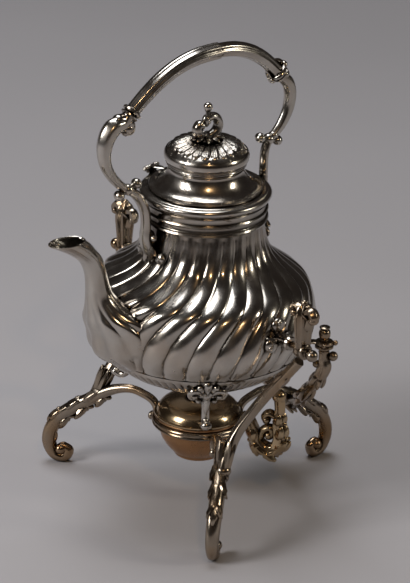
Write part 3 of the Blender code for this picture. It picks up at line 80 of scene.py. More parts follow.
# Rim moulding: radius, height
RIM_OUTLINE = [(0.0498, 0.2635), (0.0522, 0.2635), (0.0541, 0.2641), (0.0547, 0.2654), (0.0541, 0.2667),
               (0.0524, 0.2675), (0.0517, 0.2690), (0.0517, 0.2712), (0.0526, 0.2722), (0.0541, 0.2728),
               (0.0545, 0.2738), (0.0540, 0.2748), (0.0526, 0.2754), (0.0522, 0.2772), (0.0526, 0.2796),
               (0.0540, 0.2819), (0.0560, 0.2836), (0.0568, 0.2850), (0.0570, 0.2866), (0.0564, 0.2880),
               (0.0551, 0.2890), (0.0536, 0.2894), (0.0518, 0.2896), (0.0511, 0.2902), (0.0465, 0.2903),
               (0.0464, 0.2836), (0.0498, 0.2836), (0.0498, 0.2635)]

# Lid flange and neck: radius, height
LID_OUTLINE = [(0.0456, 0.2850), (0.0456, 0.2906), (0.0490, 0.2906), (0.0492, 0.2912), (0.0492, 0.2922),
               (0.0487, 0.2928), (0.0478, 0.29285), (0.0448, 0.29290), (0.0440, 0.2934), (0.0428, 0.2940),
               (0.0402, 0.2956), (0.0377, 0.2980), (0.0356, 0.3008), (0.0340, 0.3037), (0.0330, 0.3064),
               (0.0327, 0.3084), (0.0332, 0.3100), (0.0337, 0.3110), (0.0333, 0.3116), (0.0318, 0.3116),
               (0.0314, 0.3050), (0.0334, 0.3002), (0.0380, 0.2952), (0.0440, 0.2912), (0.0440, 0.2850),
               (0.0456, 0.2850)]

# Dome: radius, height
DOME_OUTLINE = [(0.0312, 0.3119), (0.0341, 0.3119), (0.0345, 0.3127), (0.0341, 0.3136), (0.0349, 0.3146),
                (0.0360, 0.3163), (0.0366, 0.3184), (0.0367, 0.3204), (0.0364, 0.3220), (0.0358, 0.3234),
                (0.0346, 0.3252), (0.0330, 0.3268), (0.0308, 0.3284), (0.0280, 0.3298), (0.0245, 0.3311),
                (0.0205, 0.3321), (0.0160, 0.3328), (0.0115, 0.3332), (0.0023, 0.3332), (0.0023, 0.3317),
                (0.0150, 0.3312), (0.0250, 0.3295), (0.0320, 0.3262), (0.0345, 0.3220), (0.0346, 0.3170),
                (0.0312, 0.3140), (0.0312, 0.3119)]

# Spout sections: reach, height, half depth, half width, tilt in degrees
SPOUT_SECTIONS = [(0.1435, 0.2700, 0.0175, 0.0115, 0), (0.1356, 0.2649, 0.0149, 0.0109, -2),
                  (0.1270, 0.2579, 0.0117, 0.0100, -5), (0.1198, 0.2506, 0.0101, 0.0094, -8),
                  (0.1148, 0.2400, 0.0095, 0.0094, -11), (0.1122, 0.2279, 0.0100, 0.0105, -12),
                  (0.1095, 0.2141, 0.0121, 0.0127, -12), (0.1050, 0.2030, 0.0156, 0.0205, -14),
                  (0.1005, 0.1941, 0.0196, 0.0328, -17), (0.0940, 0.1839, 0.0224, 0.0390, -22),
                  (0.0861, 0.1720, 0.0280, 0.0410, -28), (0.0771, 0.1580, 0.0210, 0.0402, -36),
                  (0.0680, 0.1461, 0.0166, 0.0357, -45), (0.0603, 0.1364, 0.0091, 0.0267, -55)]

# Bars in an upright plane through the kettle's axis: reach, height, half thickness
LEG_PATH = [(0.1302, 0.0155, 0.0036), (0.1254, 0.0116, 0.0041), (0.1290, 0.0048, 0.0048), (0.1376, 0.0078, 0.0051),
            (0.1425, 0.0200, 0.0056), (0.1398, 0.0340, 0.0060), (0.1310, 0.0470, 0.0063), (0.1180, 0.0570, 0.0065),
            (0.1040, 0.0660, 0.0059), (0.0919, 0.0740, 0.0051), (0.0799, 0.0789, 0.0042), (0.0681, 0.0805, 0.0037),
            (0.0575, 0.0782, 0.0036), (0.0493, 0.0749, 0.0036), (0.0448, 0.0694, 0.0035), (0.0450, 0.0632, 0.0033),
            (0.0487, 0.0595, 0.0031)]
FOOT_PATH = [(0.0858, 0.1420, 0.0040), (0.0799, 0.1346, 0.0046), (0.0740, 0.1262, 0.0043), (0.0703, 0.1178, 0.0036),
             (0.0681, 0.1095, 0.0031), (0.0690, 0.1020, 0.0031), (0.0738, 0.0992, 0.0034), (0.0788, 0.1010, 0.0037)]
GRIP_FRONT_PATH = [(-0.0776, 0.3766, 0.0060), (-0.0672, 0.3857, 0.0062), (-0.0520, 0.3967, 0.0065), (-0.0336, 0.4058, 0.0068),
                   (-0.0136, 0.4109, 0.0071), (0.0080, 0.4121, 0.0072)]
GRIP_REAR_PATH = [(0.0030, 0.4123, 0.0062), (0.0232, 0.4108, 0.0064), (0.0416, 0.4048, 0.0063), (0.0576, 0.3946, 0.0062),
                  (0.0708, 0.3819, 0.0062)]
ARM_FRONT_PATH = [(-0.0847, 0.3713, 0.0058), (-0.0897, 0.3665, 0.0066), (-0.0988, 0.3646, 0.0078), (-0.1051, 0.3561, 0.0074),
                  (-0.1075, 0.3451, 0.0064), (-0.1057, 0.3328, 0.0054), (-0.0993, 0.3211, 0.0045),
                  (-0.0912, 0.3117, 0.0038), (-0.0846, 0.3063, 0.0034)]
ARM_REAR_PATH = [(0.0757, 0.3748, 0.0045), (0.0790, 0.3733, 0.0050), (0.0849, 0.3670, 0.0057), (0.0875, 0.3560, 0.0055),
                 (0.0854, 0.3426, 0.0050), (0.0789, 0.3305, 0.0044), (0.0703, 0.3212, 0.0037)]
FRONT_BRACKET_PATH = [(-0.0820, 0.3050, 0.0036), (-0.0743, 0.2992, 0.0041), (-0.0676, 0.2904, 0.0044),
                      (-0.0635, 0.2802, 0.0043), (-0.0624, 0.2685, 0.0042), (-0.0631, 0.2568, 0.0045),
                      (-0.0601, 0.2466, 0.0046), (-0.0562, 0.2378, 0.0040)]
REAR_BRACKET_PATH = [(0.0660, 0.3195, 0.0034), (0.0626, 0.3107, 0.0036), (0.0617, 0.3011, 0.0036), (0.0617, 0.2897, 0.0036),
                     (0.0618, 0.2757, 0.0038), (0.0620, 0.2635, 0.0042), (0.0602, 0.2512, 0.0042), (0.0572, 0.2408, 0.0038)]

# Bars about the near side: place along X, Y and Z, half thickness
POST_PATH = [(-0.0436, -0.0943, 0.0640, 0.0056), (-0.0390, -0.0917, 0.0775, 0.0058), (-0.0273, -0.0897, 0.0977, 0.0050),
             (-0.0156, -0.0956, 0.1179, 0.0046), (-0.0039, -0.1060, 0.1403, 0.0046), (0.0052, -0.1170, 0.1583, 0.0045),
             (0.0100, -0.1261, 0.1717, 0.0044)]
REAR_ARM_PATH = [(0.0994, -0.0057, 0.0660, 0.0050), (0.0922, -0.0242, 0.0764, 0.0051), (0.0813, -0.0431, 0.0884, 0.0049),
                 (0.0769, -0.0560, 0.1012, 0.0051), (0.0782, -0.0658, 0.1140, 0.0055), (0.0812, -0.0705, 0.1268, 0.0062),
                 (0.0808, -0.0702, 0.1356, 0.0047), (0.0808, -0.0702, 0.1456, 0.0044)]

# Crown bracket over a pivot: out of the trunk's middle, height above the pivot, half thickness
TRUNK_PATH = [(0, 0.004, 0.0040), (0, 0.013, 0.0043), (0, 0.0242, 0.0050), (0.0003, 0.033, 0.0052), (0, 0.0396, 0.0040),
              (0, 0.0425, 0.0026)]
HORN_PATH = [(0, 0.0299, 0.0036), (0.0042, 0.0370, 0.0037), (0.0101, 0.0396, 0.0035), (0.0137, 0.0361, 0.0036),
             (0.0129, 0.0326, 0.0034)]
CROOK_PATH = [(0, 0.0299, 0.0036), (-0.0049, 0.0370, 0.0035), (-0.0109, 0.0387, 0.0032), (-0.0137, 0.0348, 0.0034),
              (-0.0119, 0.0317, 0.0033)]
HINGE_X = 0.0602
HINGE_Z = 0.2915
PIVOT_X = 0.010
PIVOT_Z = 0.183
PIVOT_REACH = 0.130

# Burner outlines: radius, height
BOWL_OUTLINE = [(0.0001, 0.0390), (0.0180, 0.0390), (0.0200, 0.0391), (0.0206, 0.0396), (0.0209, 0.0412), (0.0213, 0.0420), (0.0236, 0.0436),
                (0.0286, 0.0496), (0.0321, 0.0556), (0.0338, 0.0610), (0.0346, 0.0660), (0.0350, 0.0698),
                (0.0350, 0.0748), (0.0383, 0.0748), (0.0388, 0.0753), (0.0388, 0.0763), (0.0383, 0.0768),
                (0.0336, 0.0768), (0.0332, 0.0660), (0.0306, 0.0560), (0.0220, 0.0440), (0.0180, 0.0406), (0.0001, 0.0406)]
TOP_OUTLINE = [(0.0338, 0.0771), (0.0383, 0.0771), (0.0388, 0.0776), (0.0388, 0.0786), (0.0382, 0.0791), (0.0368, 0.0793),
               (0.0362, 0.0806), (0.0352, 0.0830), (0.0334, 0.0852), (0.0307, 0.0875), (0.0270, 0.0892), (0.0225, 0.0904),
               (0.0185, 0.0913), (0.0150, 0.0918), (0.0125, 0.0918), (0.0116, 0.0914), (0.0115, 0.0886),
               (0.0063, 0.0885), (0.0063, 0.0872), (0.0126, 0.0872), (0.0225, 0.0888), (0.0300, 0.0862),
               (0.0338, 0.0820), (0.0338, 0.0771)]
CAP_OUTLINE = [(0.0092, 0.0888), (0.0100, 0.0888), (0.0102, 0.0891), (0.0102, 0.0926), (0.0099, 0.0934), (0.0090, 0.0940),
               (0.0070, 0.0945), (0.0040, 0.0949), (0.0001, 0.0950), (0.0001, 0.0941), (0.0066, 0.0936), (0.0088, 0.0928),
               (0.0092, 0.0920), (0.0092, 0.0888)]
BURNER_HANDLE_PATH = [(0.0392, 0.0806, 0.0034), (0.0456, 0.0775, 0.0044), (0.0498, 0.0681, 0.0052), (0.0532, 0.0572, 0.0060),
                      (0.0623, 0.0504, 0.0064), (0.0706, 0.0530, 0.0062), (0.0738, 0.0634, 0.0058),
                      (0.0722, 0.0770, 0.0050), (0.0730, 0.0905, 0.0044), (0.0722, 0.1015, 0.0046)]
BURNER_RING_OUTLINE = [(0.0354, 0.0675), (0.0392, 0.0675), (0.0402, 0.0680), (0.0408, 0.0690), (0.0405, 0.0700),
                       (0.0400, 0.0705), (0.0400, 0.0715), (0.0405, 0.0720), (0.0408, 0.0730), (0.0402, 0.0740),
                       (0.0392, 0.0745), (0.0354, 0.0745), (0.0354, 0.0675)]


class SamovarFinish(bpy.types.PropertyGroup):
    """Colours of the metals and how worn they are."""

    silver: FloatVectorProperty(name="Silver", description="Colour of the kettle's silver plate", subtype="COLOR",
                                size=3, default=(0.56, 0.53, 0.485), min=0, max=1)
    # Painted shade colour: the hollows darken to it by ambient occlusion, with their tarnish, and the painted
    # reflection patches lean to it
    silver_shade: FloatVectorProperty(name="Silver shade and tarnish", description="Colour of the painted shade and tarnish in the silver's hollows",
                                      subtype="COLOR", size=3, default=(0.05, 0.036, 0.025), min=0, max=1)
    stand: FloatVectorProperty(name="Stand silver", description="Colour of the stand's worn silver plate",
                               subtype="COLOR", size=3, default=(0.34, 0.285, 0.225), min=0, max=1)
    bronze: FloatVectorProperty(name="Bare bronze", description="Colour of the metal where the plate has worn",
                                subtype="COLOR", size=3, default=(0.33, 0.19, 0.08), min=0, max=1)
    gilt: FloatVectorProperty(name="Gilt brass", description="Colour of the burner's top", subtype="COLOR",
                              size=3, default=(0.46, 0.35, 0.22), min=0, max=1)
    copper: FloatVectorProperty(name="Copper", description="Colour of the burner's bowl", subtype="COLOR",
                                size=3, default=(0.44, 0.24, 0.12), min=0, max=1)
    cotton: FloatVectorProperty(name="Cotton", description="Colour of the wick", subtype="COLOR", size=3,
                                default=(0.80, 0.75, 0.64), min=0, max=1)
    roughness: FloatProperty(name="Polish", description="Roughness of the polished silver", subtype="FACTOR",
                             default=0.17, min=0.02, max=1)


class SamovarShape(bpy.types.PropertyGroup):
    """Sizes of the relief on the kettle."""

    lobes: IntProperty(name="Lobes", description="Number of twisted lobes round the kettle", default=28, min=6, max=60)
    lobe_depth: FloatProperty(name="Lobe depth", description="Depth of the grooves between the lobes",
                              subtype="DISTANCE", unit="LENGTH", default=0.0032, min=0, max=0.01)
    lobe_twist: FloatProperty(name="Lobe twist", description="Turn of the lobes from the kettle's foot to its neck",
                              subtype="ANGLE", unit="ROTATION", default=math.radians(40))


class SamovarStage(bpy.types.PropertyGroup):
    """Floor, lights and camera."""

    floor: FloatVectorProperty(name="Floor", description="Colour of the floor and backdrop", subtype="COLOR",
                               size=3, default=(0.35, 0.342, 0.36), min=0, max=1)
    camera_height: FloatProperty(name="Look height", description="Height that the camera looks at",
                                 subtype="DISTANCE", unit="LENGTH", default=0.19186)
    camera_distance: FloatProperty(name="Camera distance", description="Distance from the camera to that height",
                                   subtype="DISTANCE", unit="LENGTH", default=3.932)
    camera_rise: FloatProperty(name="Camera rise", description="Angle by which the camera looks down",
                               subtype="ANGLE", unit="ROTATION", default=math.radians(23.7))
    camera_roll: FloatProperty(name="Camera roll", description="Turn of the camera about its view",
                               subtype="ANGLE", unit="ROTATION", default=math.radians(1.8))
    floor_reach: FloatProperty(name="Floor", description="Length of the floor's sides",
                               subtype="DISTANCE", unit="LENGTH", default=14)
    light: FloatProperty(name="Light", description="Share of full power that every lamp gives", subtype="FACTOR",
                         default=1.0, min=0, soft_max=2)


def finish_settings():
    return bpy.context.scene.samovar_finish


def shape_settings():
    return bpy.context.scene.samovar_shape


def stage_settings():
    return bpy.context.scene.samovar_stage


# Finishes


def new_material(name):
    """Make a node material and return it with its node tree and its shader."""
    mat = bpy.data.materials.new(name)
    mat.use_nodes = True
    tree = mat.node_tree
    return mat, tree, tree.nodes["Principled BSDF"]


def link(tree, source, target):
    tree.links.new(source, target)


def noise(tree, scale, detail=3.0, stretch=(1, 1, 1)):
    """Noise on the object's own coordinates."""
    coordinates = tree.nodes.new("ShaderNodeTexCoord")
    mapping = tree.nodes.new("ShaderNodeMapping")
    mapping.inputs["Scale"].default_value = stretch
    texture = tree.nodes.new("ShaderNodeTexNoise")
    texture.inputs["Scale"].default_value = scale
    texture.inputs["Detail"].default_value = detail
    link(tree, coordinates.outputs["Object"], mapping.inputs["Vector"])
    link(tree, mapping.outputs["Vector"], texture.inputs["Vector"])
    return texture.outputs["Fac"]


def remap(tree, value, low, high, new_low, new_high):
    node = tree.nodes.new("ShaderNodeMapRange")
    for name, number in (("From Min", low), ("From Max", high), ("To Min", new_low), ("To Max", new_high)):
        node.inputs[name].default_value = number
    link(tree, value, node.inputs["Value"])
    return node.outputs["Result"]


def blend_colour(tree, factor, first, second):
    """Mix two colours, each a tuple or a socket, by a socket."""
    node = tree.nodes.new("ShaderNodeMix")
    node.data_type = "RGBA"
    link(tree, factor, node.inputs["Factor"])
    for socket, colour in ((node.inputs["A"], first), (node.inputs["B"], second)):
        if isinstance(colour, bpy.types.NodeSocket):
            link(tree, colour, socket)
        else:
            socket.default_value = (*colour, 1)
    return node.outputs["Result"]


def metal_finish(name, colour, shade, polish, under, bare=0.3, shade_reach=0.005):
    """Polished metal with painted shade and tarnish darkening its hollows, darker brown patches of painted reflection,
    patches worn to the metal under it, scratches and small dents.
    """
    mat, tree, shader = new_material(name)
    # Painted shade, with tarnish: an ambient-occlusion mask darkens the colour towards the shade colour wherever the
    # surface is shut in
    hollow = tree.nodes.new("ShaderNodeAmbientOcclusion")
    hollow.samples = 6
    hollow.inputs["Distance"].default_value = shade_reach
    hollows = remap(tree, hollow.outputs["AO"], 0.34, 0.97, 1.0, 0.0)
    patch = remap(tree, noise(tree, 22, 4), 0.42, 0.72, 0.0, bare)
    worn = blend_colour(tree, patch, tuple(colour), tuple(under))
    # Painted reflection: noise patches lean the colour to a darker brown, standing in for the brown reflection of warm
    # surroundings
    painted_reflection = remap(tree, noise(tree, 55, 5), 0.48, 0.75, 0.0, 0.5)
    reflection_tinted = blend_colour(tree, painted_reflection, worn, tuple(c * 0.6 + s * 0.4 for c, s in zip(colour, shade)))
    base = blend_colour(tree, hollows, reflection_tinted, tuple(shade))
    link(tree, base, shader.inputs["Base Color"])
    shader.inputs["Metallic"].default_value = 1
    smudge = remap(tree, noise(tree, 60, 5), 0.3, 0.75, polish * 0.7, polish * 1.7)
    link(tree, smudge, shader.inputs["Roughness"])
    dents = tree.nodes.new("ShaderNodeBump")
    dents.inputs["Strength"].default_value = 0.16
    dents.inputs["Distance"].default_value = 0.0006
    link(tree, noise(tree, 90, 2), dents.inputs["Height"])
    scratches = tree.nodes.new("ShaderNodeBump")
    scratches.inputs["Strength"].default_value = 0.06
    scratches.inputs["Distance"].default_value = 0.0001
    link(tree, noise(tree, 900, 2, (1, 1, 0.12)), scratches.inputs["Height"])
    link(tree, dents.outputs["Normal"], scratches.inputs["Normal"])
    link(tree, scratches.outputs["Normal"], shader.inputs["Normal"])
    return mat


def cotton_finish(name, colour):
    """Braided cotton with lighter and darker strands."""
    mat, tree, shader = new_material(name)
    strands = remap(tree, noise(tree, 700, 2, (1, 1, 0.4)), 0.35, 0.7, 0.0, 1.0)
    base = blend_colour(tree, strands, tuple(c * 0.6 for c in colour), tuple(colour))
    link(tree, base, shader.inputs["Base Color"])
    shader.inputs["Roughness"].default_value = 0.95
    weave = tree.nodes.new("ShaderNodeBump")
    weave.inputs["Strength"].default_value = 0.6
    weave.inputs["Distance"].default_value = 0.0004
    link(tree, strands, weave.inputs["Height"])
    link(tree, weave.outputs["Normal"], shader.inputs["Normal"])
    return mat


FINISHES = {}


def finish(slot):
    """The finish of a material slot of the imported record, made once."""
    if slot not in FINISHES:
        s = finish_settings()
        # Painted shade colour of every metal's hollows
        shade = tuple(s.silver_shade)
        bronze = tuple(s.bronze)
        if slot == "silver":
            FINISHES[slot] = metal_finish("Silver plate", tuple(s.silver), shade, s.roughness, bronze, 0.35, 0.011)
        elif slot == "stand_silver":
            FINISHES[slot] = metal_finish("Worn silver plate", tuple(s.stand), shade, s.roughness * 1.1, bronze, 0.85)
        elif slot == "gilt_brass":
            FINISHES[slot] = metal_finish("Gilt brass", tuple(s.gilt), shade, s.roughness * 1.1, bronze, 0.5)
        elif slot == "copper":
            FINISHES[slot] = metal_finish("Worn copper", tuple(s.copper), shade, s.roughness * 1.7, bronze, 0.4)
        else:
            FINISHES[slot] = cotton_finish("Braided cotton", tuple(s.cotton))
    return FINISHES[slot]


# Modelling


def select_only(obj):
    """Leave one object selected and active."""
    if bpy.context.object and bpy.context.object.mode != "OBJECT":
        bpy.ops.object.mode_set(mode="OBJECT")
    bpy.ops.object.select_all(action="DESELECT")
    obj.select_set(True)
    bpy.context.view_layer.objects.active = obj


def settle(obj, name, slot, body, replaced=(), angle=40):
    """Name a finished piece, put its place in its mesh, smooth it, give it its finish and hang it on its body."""
    obj.name = name
    obj.data.name = name
    obj.location.x += AXIS_X
    select_only(obj)
    bpy.ops.object.transform_apply(location=True, rotation=True, scale=True)
    bpy.ops.object.mode_set(mode="EDIT")
    bpy.ops.mesh.select_all(action="SELECT")
    bpy.ops.mesh.remove_doubles(threshold=0.000002)
    bpy.ops.mesh.normals_make_consistent(inside=False)
    bpy.ops.object.mode_set(mode="OBJECT")
    bpy.ops.object.shade_smooth_by_angle(angle=math.radians(angle))
    obj.data.materials.clear()
    obj.data.materials.append(finish(slot))
    if replaced:
        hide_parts(*replaced)
    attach(obj, body)
    return obj


def put_together(objects):
    """Join objects into the first."""
    select_only(objects[0])
    for obj in objects[1:]:
        obj.select_set(True)
    bpy.ops.object.join()
    return bpy.context.object


def lathe(outline, steps):
    """Spin an outline of (radius, height) about the kettle's axis."""
    bpy.ops.object.select_all(action="DESELECT")
    bpy.ops.mesh.primitive_plane_add(size=0.01, location=(0, 0, 0))
    obj = bpy.context.object
    bpy.ops.object.mode_set(mode="EDIT")
    bpy.ops.mesh.select_all(action="SELECT")
    bpy.ops.mesh.merge(type="CENTER")
    radius, z = outline[0]
    bpy.ops.transform.translate(value=(radius, 0, z))
    for (r0, z0), (r1, z1) in zip(outline, outline[1:]):
        bpy.ops.mesh.extrude_region_move(TRANSFORM_OT_translate={"value": (r1 - r0, 0, z1 - z0)})
    bpy.ops.mesh.select_all(action="SELECT")
    bpy.ops.mesh.spin(steps=steps, angle=math.tau, center=(0, 0, 0), axis=(0, 0, 1))
    bpy.ops.mesh.select_all(action="SELECT")
    bpy.ops.mesh.remove_doubles(threshold=0.00001)
    bpy.ops.mesh.normals_make_consistent(inside=False)
    bpy.ops.object.mode_set(mode="OBJECT")
    return obj


def reshape(obj, change):
    """Move every point of a mesh by a function of its place about the kettle's axis."""
    select_only(obj)
    bpy.ops.object.transform_apply(location=True, rotation=True, scale=True)
    for vertex in obj.data.vertices:
        vertex.co = change(vertex.co)
    obj.data.update()
    return obj


def smooth_outline(points, splits):
    """Add points on a curve through an outline."""
    ends = [points[0]] + list(points) + [points[-1]]
    result = []
    for k in range(1, len(ends) - 2):
        a, b, c, d = ends[k - 1:k + 3]
        for step in range(splits):
            t = step / splits
            w = ((-t + 2 * t * t - t ** 3) / 2, (2 - 5 * t * t + 3 * t ** 3) / 2,
                 (t + 4 * t * t - 3 * t ** 3) / 2, (t ** 3 - t * t) / 2)
            result.append(tuple(sum(wi * v for wi, v in zip(w, values)) for values in zip(a, b, c, d)))
    result.append(tuple(points[-1]))
    return result


def read_table(table, value):
    """Read a two-column table at a value, along a straight line between rows."""
    if value <= table[0][0]:
        return table[0][1]
    for (x0, y0), (x1, y1) in zip(table, table[1:]):
        if value <= x1:
            return y0 + (y1 - y0) * (value - x0) / (x1 - x0)
    return table[-1][1]


def section(wide, sides, lobes=0, depth=0.0):
    """Closed outline, one unit thick, for a bar to carry along its path."""
    bpy.ops.object.select_all(action="DESELECT")
    bpy.ops.curve.primitive_nurbs_circle_add(radius=1, location=(0, 0, 0))
    obj = bpy.context.object
    obj.data.splines.clear()
    spline = obj.data.splines.new("POLY")
    spline.points.add(sides - 1)
    for k, point in enumerate(spline.points):
        angle = math.tau * k / sides
        swell = 1 + depth * math.cos(lobes * angle)
        point.co = (swell * math.cos(angle), wide * swell * math.sin(angle), 0, 1)
    spline.use_cyclic_u = True
    return obj


def with_domes(points, start, end):
    """Add the rows of a domed end before and after a path."""
    def dome(last, before):
        place, inside = Vector(last[:-1]), Vector(before[:-1])
        out = (place - inside).normalized()
        rows = []
        for turn in (25, 48, 66, 80):
            step = place + out * (last[-1] * math.sin(math.radians(turn)))
            rows.append((*step, last[-1] * math.cos(math.radians(turn))))
        return rows

    first = list(reversed(dome(points[0], points[1]))) if start else []
    last = dome(points[-1], points[-2]) if end else []
    return first + list(points) + last


def bar(path, wide=1.0, sides=16, lobes=0, depth=0.0, splits=4, start=True, end=True):
    """Bar along a path of (reach, height, half thickness), or of (x, y, z, half thickness)."""
    points = with_domes(smooth_outline(path, splits), start, end)
    outline = section(wide, sides, lobes, depth)
    bpy.ops.object.select_all(action="DESELECT")
    bpy.ops.curve.primitive_nurbs_path_add(radius=1, location=(0, 0, 0))
    obj = bpy.context.object
    curve = obj.data
    curve.splines.clear()
    flat = len(points[0]) == 3
    curve.dimensions = "2D" if flat else "3D"
    spline = curve.splines.new("POLY")
    spline.points.add(len(points) - 1)
    for point, station in zip(spline.points, points):
        point.co = (*station[:2], 0, 1) if flat else (*station[:3], 1)
        point.radius = station[-1]
    curve.bevel_mode = "OBJECT"
    curve.bevel_object = outline
    curve.use_fill_caps = True
    if flat:
        obj.rotation_euler = (math.pi / 2, 0, 0)
    select_only(obj)
    bpy.ops.object.convert(target="MESH")
    obj = bpy.context.object
    select_only(outline)
    bpy.ops.object.delete()
    return obj


def bead(place, radius, squash=(1, 1, 1)):
    """Ball, or an egg if squashed, at a place."""
    bpy.ops.object.select_all(action="DESELECT")
    bpy.ops.mesh.primitive_uv_sphere_add(segments=16, ring_count=10, radius=radius, location=place, scale=squash)
    return bpy.context.object


def leaf(place, along, up, length, width, thick, droop=0.25):
    """Pointed leaf with a rib and notched edges, lying along a direction and curling down at its tip."""
    bpy.ops.object.select_all(action="DESELECT")
    bpy.ops.mesh.primitive_uv_sphere_add(segments=12, ring_count=11, radius=1, location=(0, 0, 0))
    obj = bpy.context.object
    x = Vector(along).normalized()
    z = (Vector(up) - x * x.dot(Vector(up))).normalized()
    turn = Matrix((x, z.cross(x), z)).transposed()
    for vertex in obj.data.vertices:
        across, rise, run = vertex.co
        share = (run + 1) / 2
        notch = 1 + 0.13 * math.cos(share * math.tau * 3)
        rib = 1 + 0.5 * max(0, 1 - abs(across) * 3)
        point = Vector((length * share, width * across * notch * (1.15 - 0.5 * share), thick * rise * rib))
        point.z -= droop * length * share * share
        vertex.co = Vector(place) + turn @ point
    return obj


def fan(place, along, up, count, spread, length, width, thick, droop=0.2):
    """Leaves that spread from one place."""
    along, up = Vector(along).normalized(), Vector(up).normalized()
    leaves = []
    for k in range(count):
        share = (k / (count - 1) - 0.5) * 2 if count > 1 else 0
        direction = Matrix.Rotation(math.radians(spread) * share / 2, 3, up) @ along
        leaves.append(leaf(place, direction, up, length * (1 - 0.28 * abs(share)), width, thick, droop))
    return leaves


def scroll(centre, start, turns, outer, inner, thick, fine):
    """Path of a spiral, from its outer end in: centre, starting angle in degrees, turns, radii, half thicknesses."""
    rows = []
    count = max(6, int(abs(turns) * 14))
    for k in range(count + 1):
        t = k / count
        angle = math.radians(start) + turns * math.tau * t
        reach = outer + (inner - outer) * t
        rows.append((centre[0] + reach * math.cos(angle), centre[1] + reach * math.sin(angle),
                     thick + (fine - thick) * t))
    return rows


def swing(obj, azimuth, twist=0.0):
    """Turn a piece drawn along +X about the kettle's axis, and twist it in towards its inner end."""
    def turn(point):
        radius = math.hypot(point.x, point.y)
        angle = azimuth - twist * (1 - radius / 0.143) / (1 - 0.313)
        return Matrix.Rotation(angle, 3, "Z") @ point

    return reshape(obj, turn)


def flip(obj, side):
    """Mirror a piece of the near side to the far side when side is 1."""
    if side < 0:
        return obj
    return reshape(obj, lambda point: Vector((point.x, -point.y, point.z)))


def along_path(path, share):
    """Place and direction on a path at a share of its rows."""
    points = smooth_outline(path, 4)
    k = min(len(points) - 2, max(1, int(share * (len(points) - 1))))
    place = points[k]
    step = [b - a for a, b in zip(points[k - 1][:-1], points[k + 1][:-1])]
    return place, step


def lobe_share(z):
    """Share of the full lobe depth at a height."""
    if z <= LOBE_LOW_Z or z >= LOBE_HIGH_Z:
        return 0
    rise = min(1, (z - LOBE_LOW_Z) / 0.004)
    fade = max(0, (z - 0.200) / (LOBE_HIGH_Z - 0.200))
    return math.sqrt(rise) * (1 - 0.8 * fade)


class SamovarOperator:
    """What all the piece operators share."""

    bl_options = {"REGISTER", "UNDO"}

    def execute(self, context):
        self.build(shape_settings())
        return {"FINISHED"}


class SAMOVAR_OT_kettle_body(SamovarOperator, bpy.types.Operator):
    """Kettle body with its twisted lobes, and the gadroon band round its foot"""

    bl_idname = "samovar.kettle_body"
    bl_label = "Kettle Body"

    def build(self, s):
        outline = [(r, z) for z, r in smooth_outline(BODY_OUTLINE, 3)]
        inner = [(r - 0.0046, z) for r, z in reversed(outline[8:-12])]
        obj = lathe([(0, BASE_Z)] + outline + [(0.0481, NECK_TOP_Z), (0.0475, 0.262)] + inner + [(0, BASE_Z + 0.0014)],
                    s.lobes * 14)

        def twist(point):
            radius = math.hypot(point.x, point.y)
            if radius < 0.02:
                return point
            angle = math.atan2(point.y, point.x)
            z = point.z
            crest = abs(math.cos(s.lobes / 2 * angle)) ** 0.62
            outer = radius > read_table(BODY_OUTLINE, z) - 0.001
            if outer:
                radius -= s.lobe_depth * lobe_share(z) * (1 - crest)
                reed = max(0, min(1, (z - 0.236) / 0.006)) * max(0, min(1, (0.2615 - z) / 0.004))
                radius -= 0.0004 * reed * (1 - abs(math.cos(s.lobes * angle)))
            turn = s.lobe_twist * read_table(TWIST_SHARES, z)
            return Vector((radius * math.cos(angle + turn), radius * math.sin(angle + turn), z))

        reshape(obj, twist)
        settle(obj, "kettle_shell", "silver", "kettle", ["kettle_body"], angle=50)
        low, high = 0.1275, 0.1455
        rows = [(read_table(BODY_OUTLINE, z) + out, z) for z, out in
                ((low, 0.0002), (low, 0.0018), (low + 0.0010, 0.0024), (low + 0.0022, 0.0018), (low + 0.0034, 0.0026),
                 (low + 0.006, 0.0032), (high - 0.006, 0.0030), (high - 0.003, 0.0022), (high - 0.0016, 0.0012),
                 (high, 0.0004), (high, -0.0004), ((low + high) / 2, 0.0002), (low, 0.0002))]
        band = lathe(rows, 72 * 8)

        def gadroon(point):
            radius = math.hypot(point.x, point.y)
            inside = radius < read_table(BODY_OUTLINE, point.z) + 0.0010
            middle = max(0, 1 - abs(point.z - (low + high) / 2) / 0.0062)
            groove = 1 - abs(math.cos(36 * math.atan2(point.y, point.x))) ** 0.7
            scale = 1 if inside else 1 - 0.0030 * min(1, middle * 3) * groove / radius
            return Vector((point.x * scale, point.y * scale, point.z))

        reshape(band, gadroon)
        settle(band, "gadroon_band", "silver", "kettle", ["base_band"])


class SAMOVAR_OT_rim(SamovarOperator, bpy.types.Operator):
    """Rim moulding round the kettle's neck"""

    bl_idname = "samovar.rim"
    bl_label = "Rim"

    def build(self, s):
        settle(lathe(RIM_OUTLINE, 160), "rim_moulding", "silver", "kettle", ["neck_ring"], angle=35)


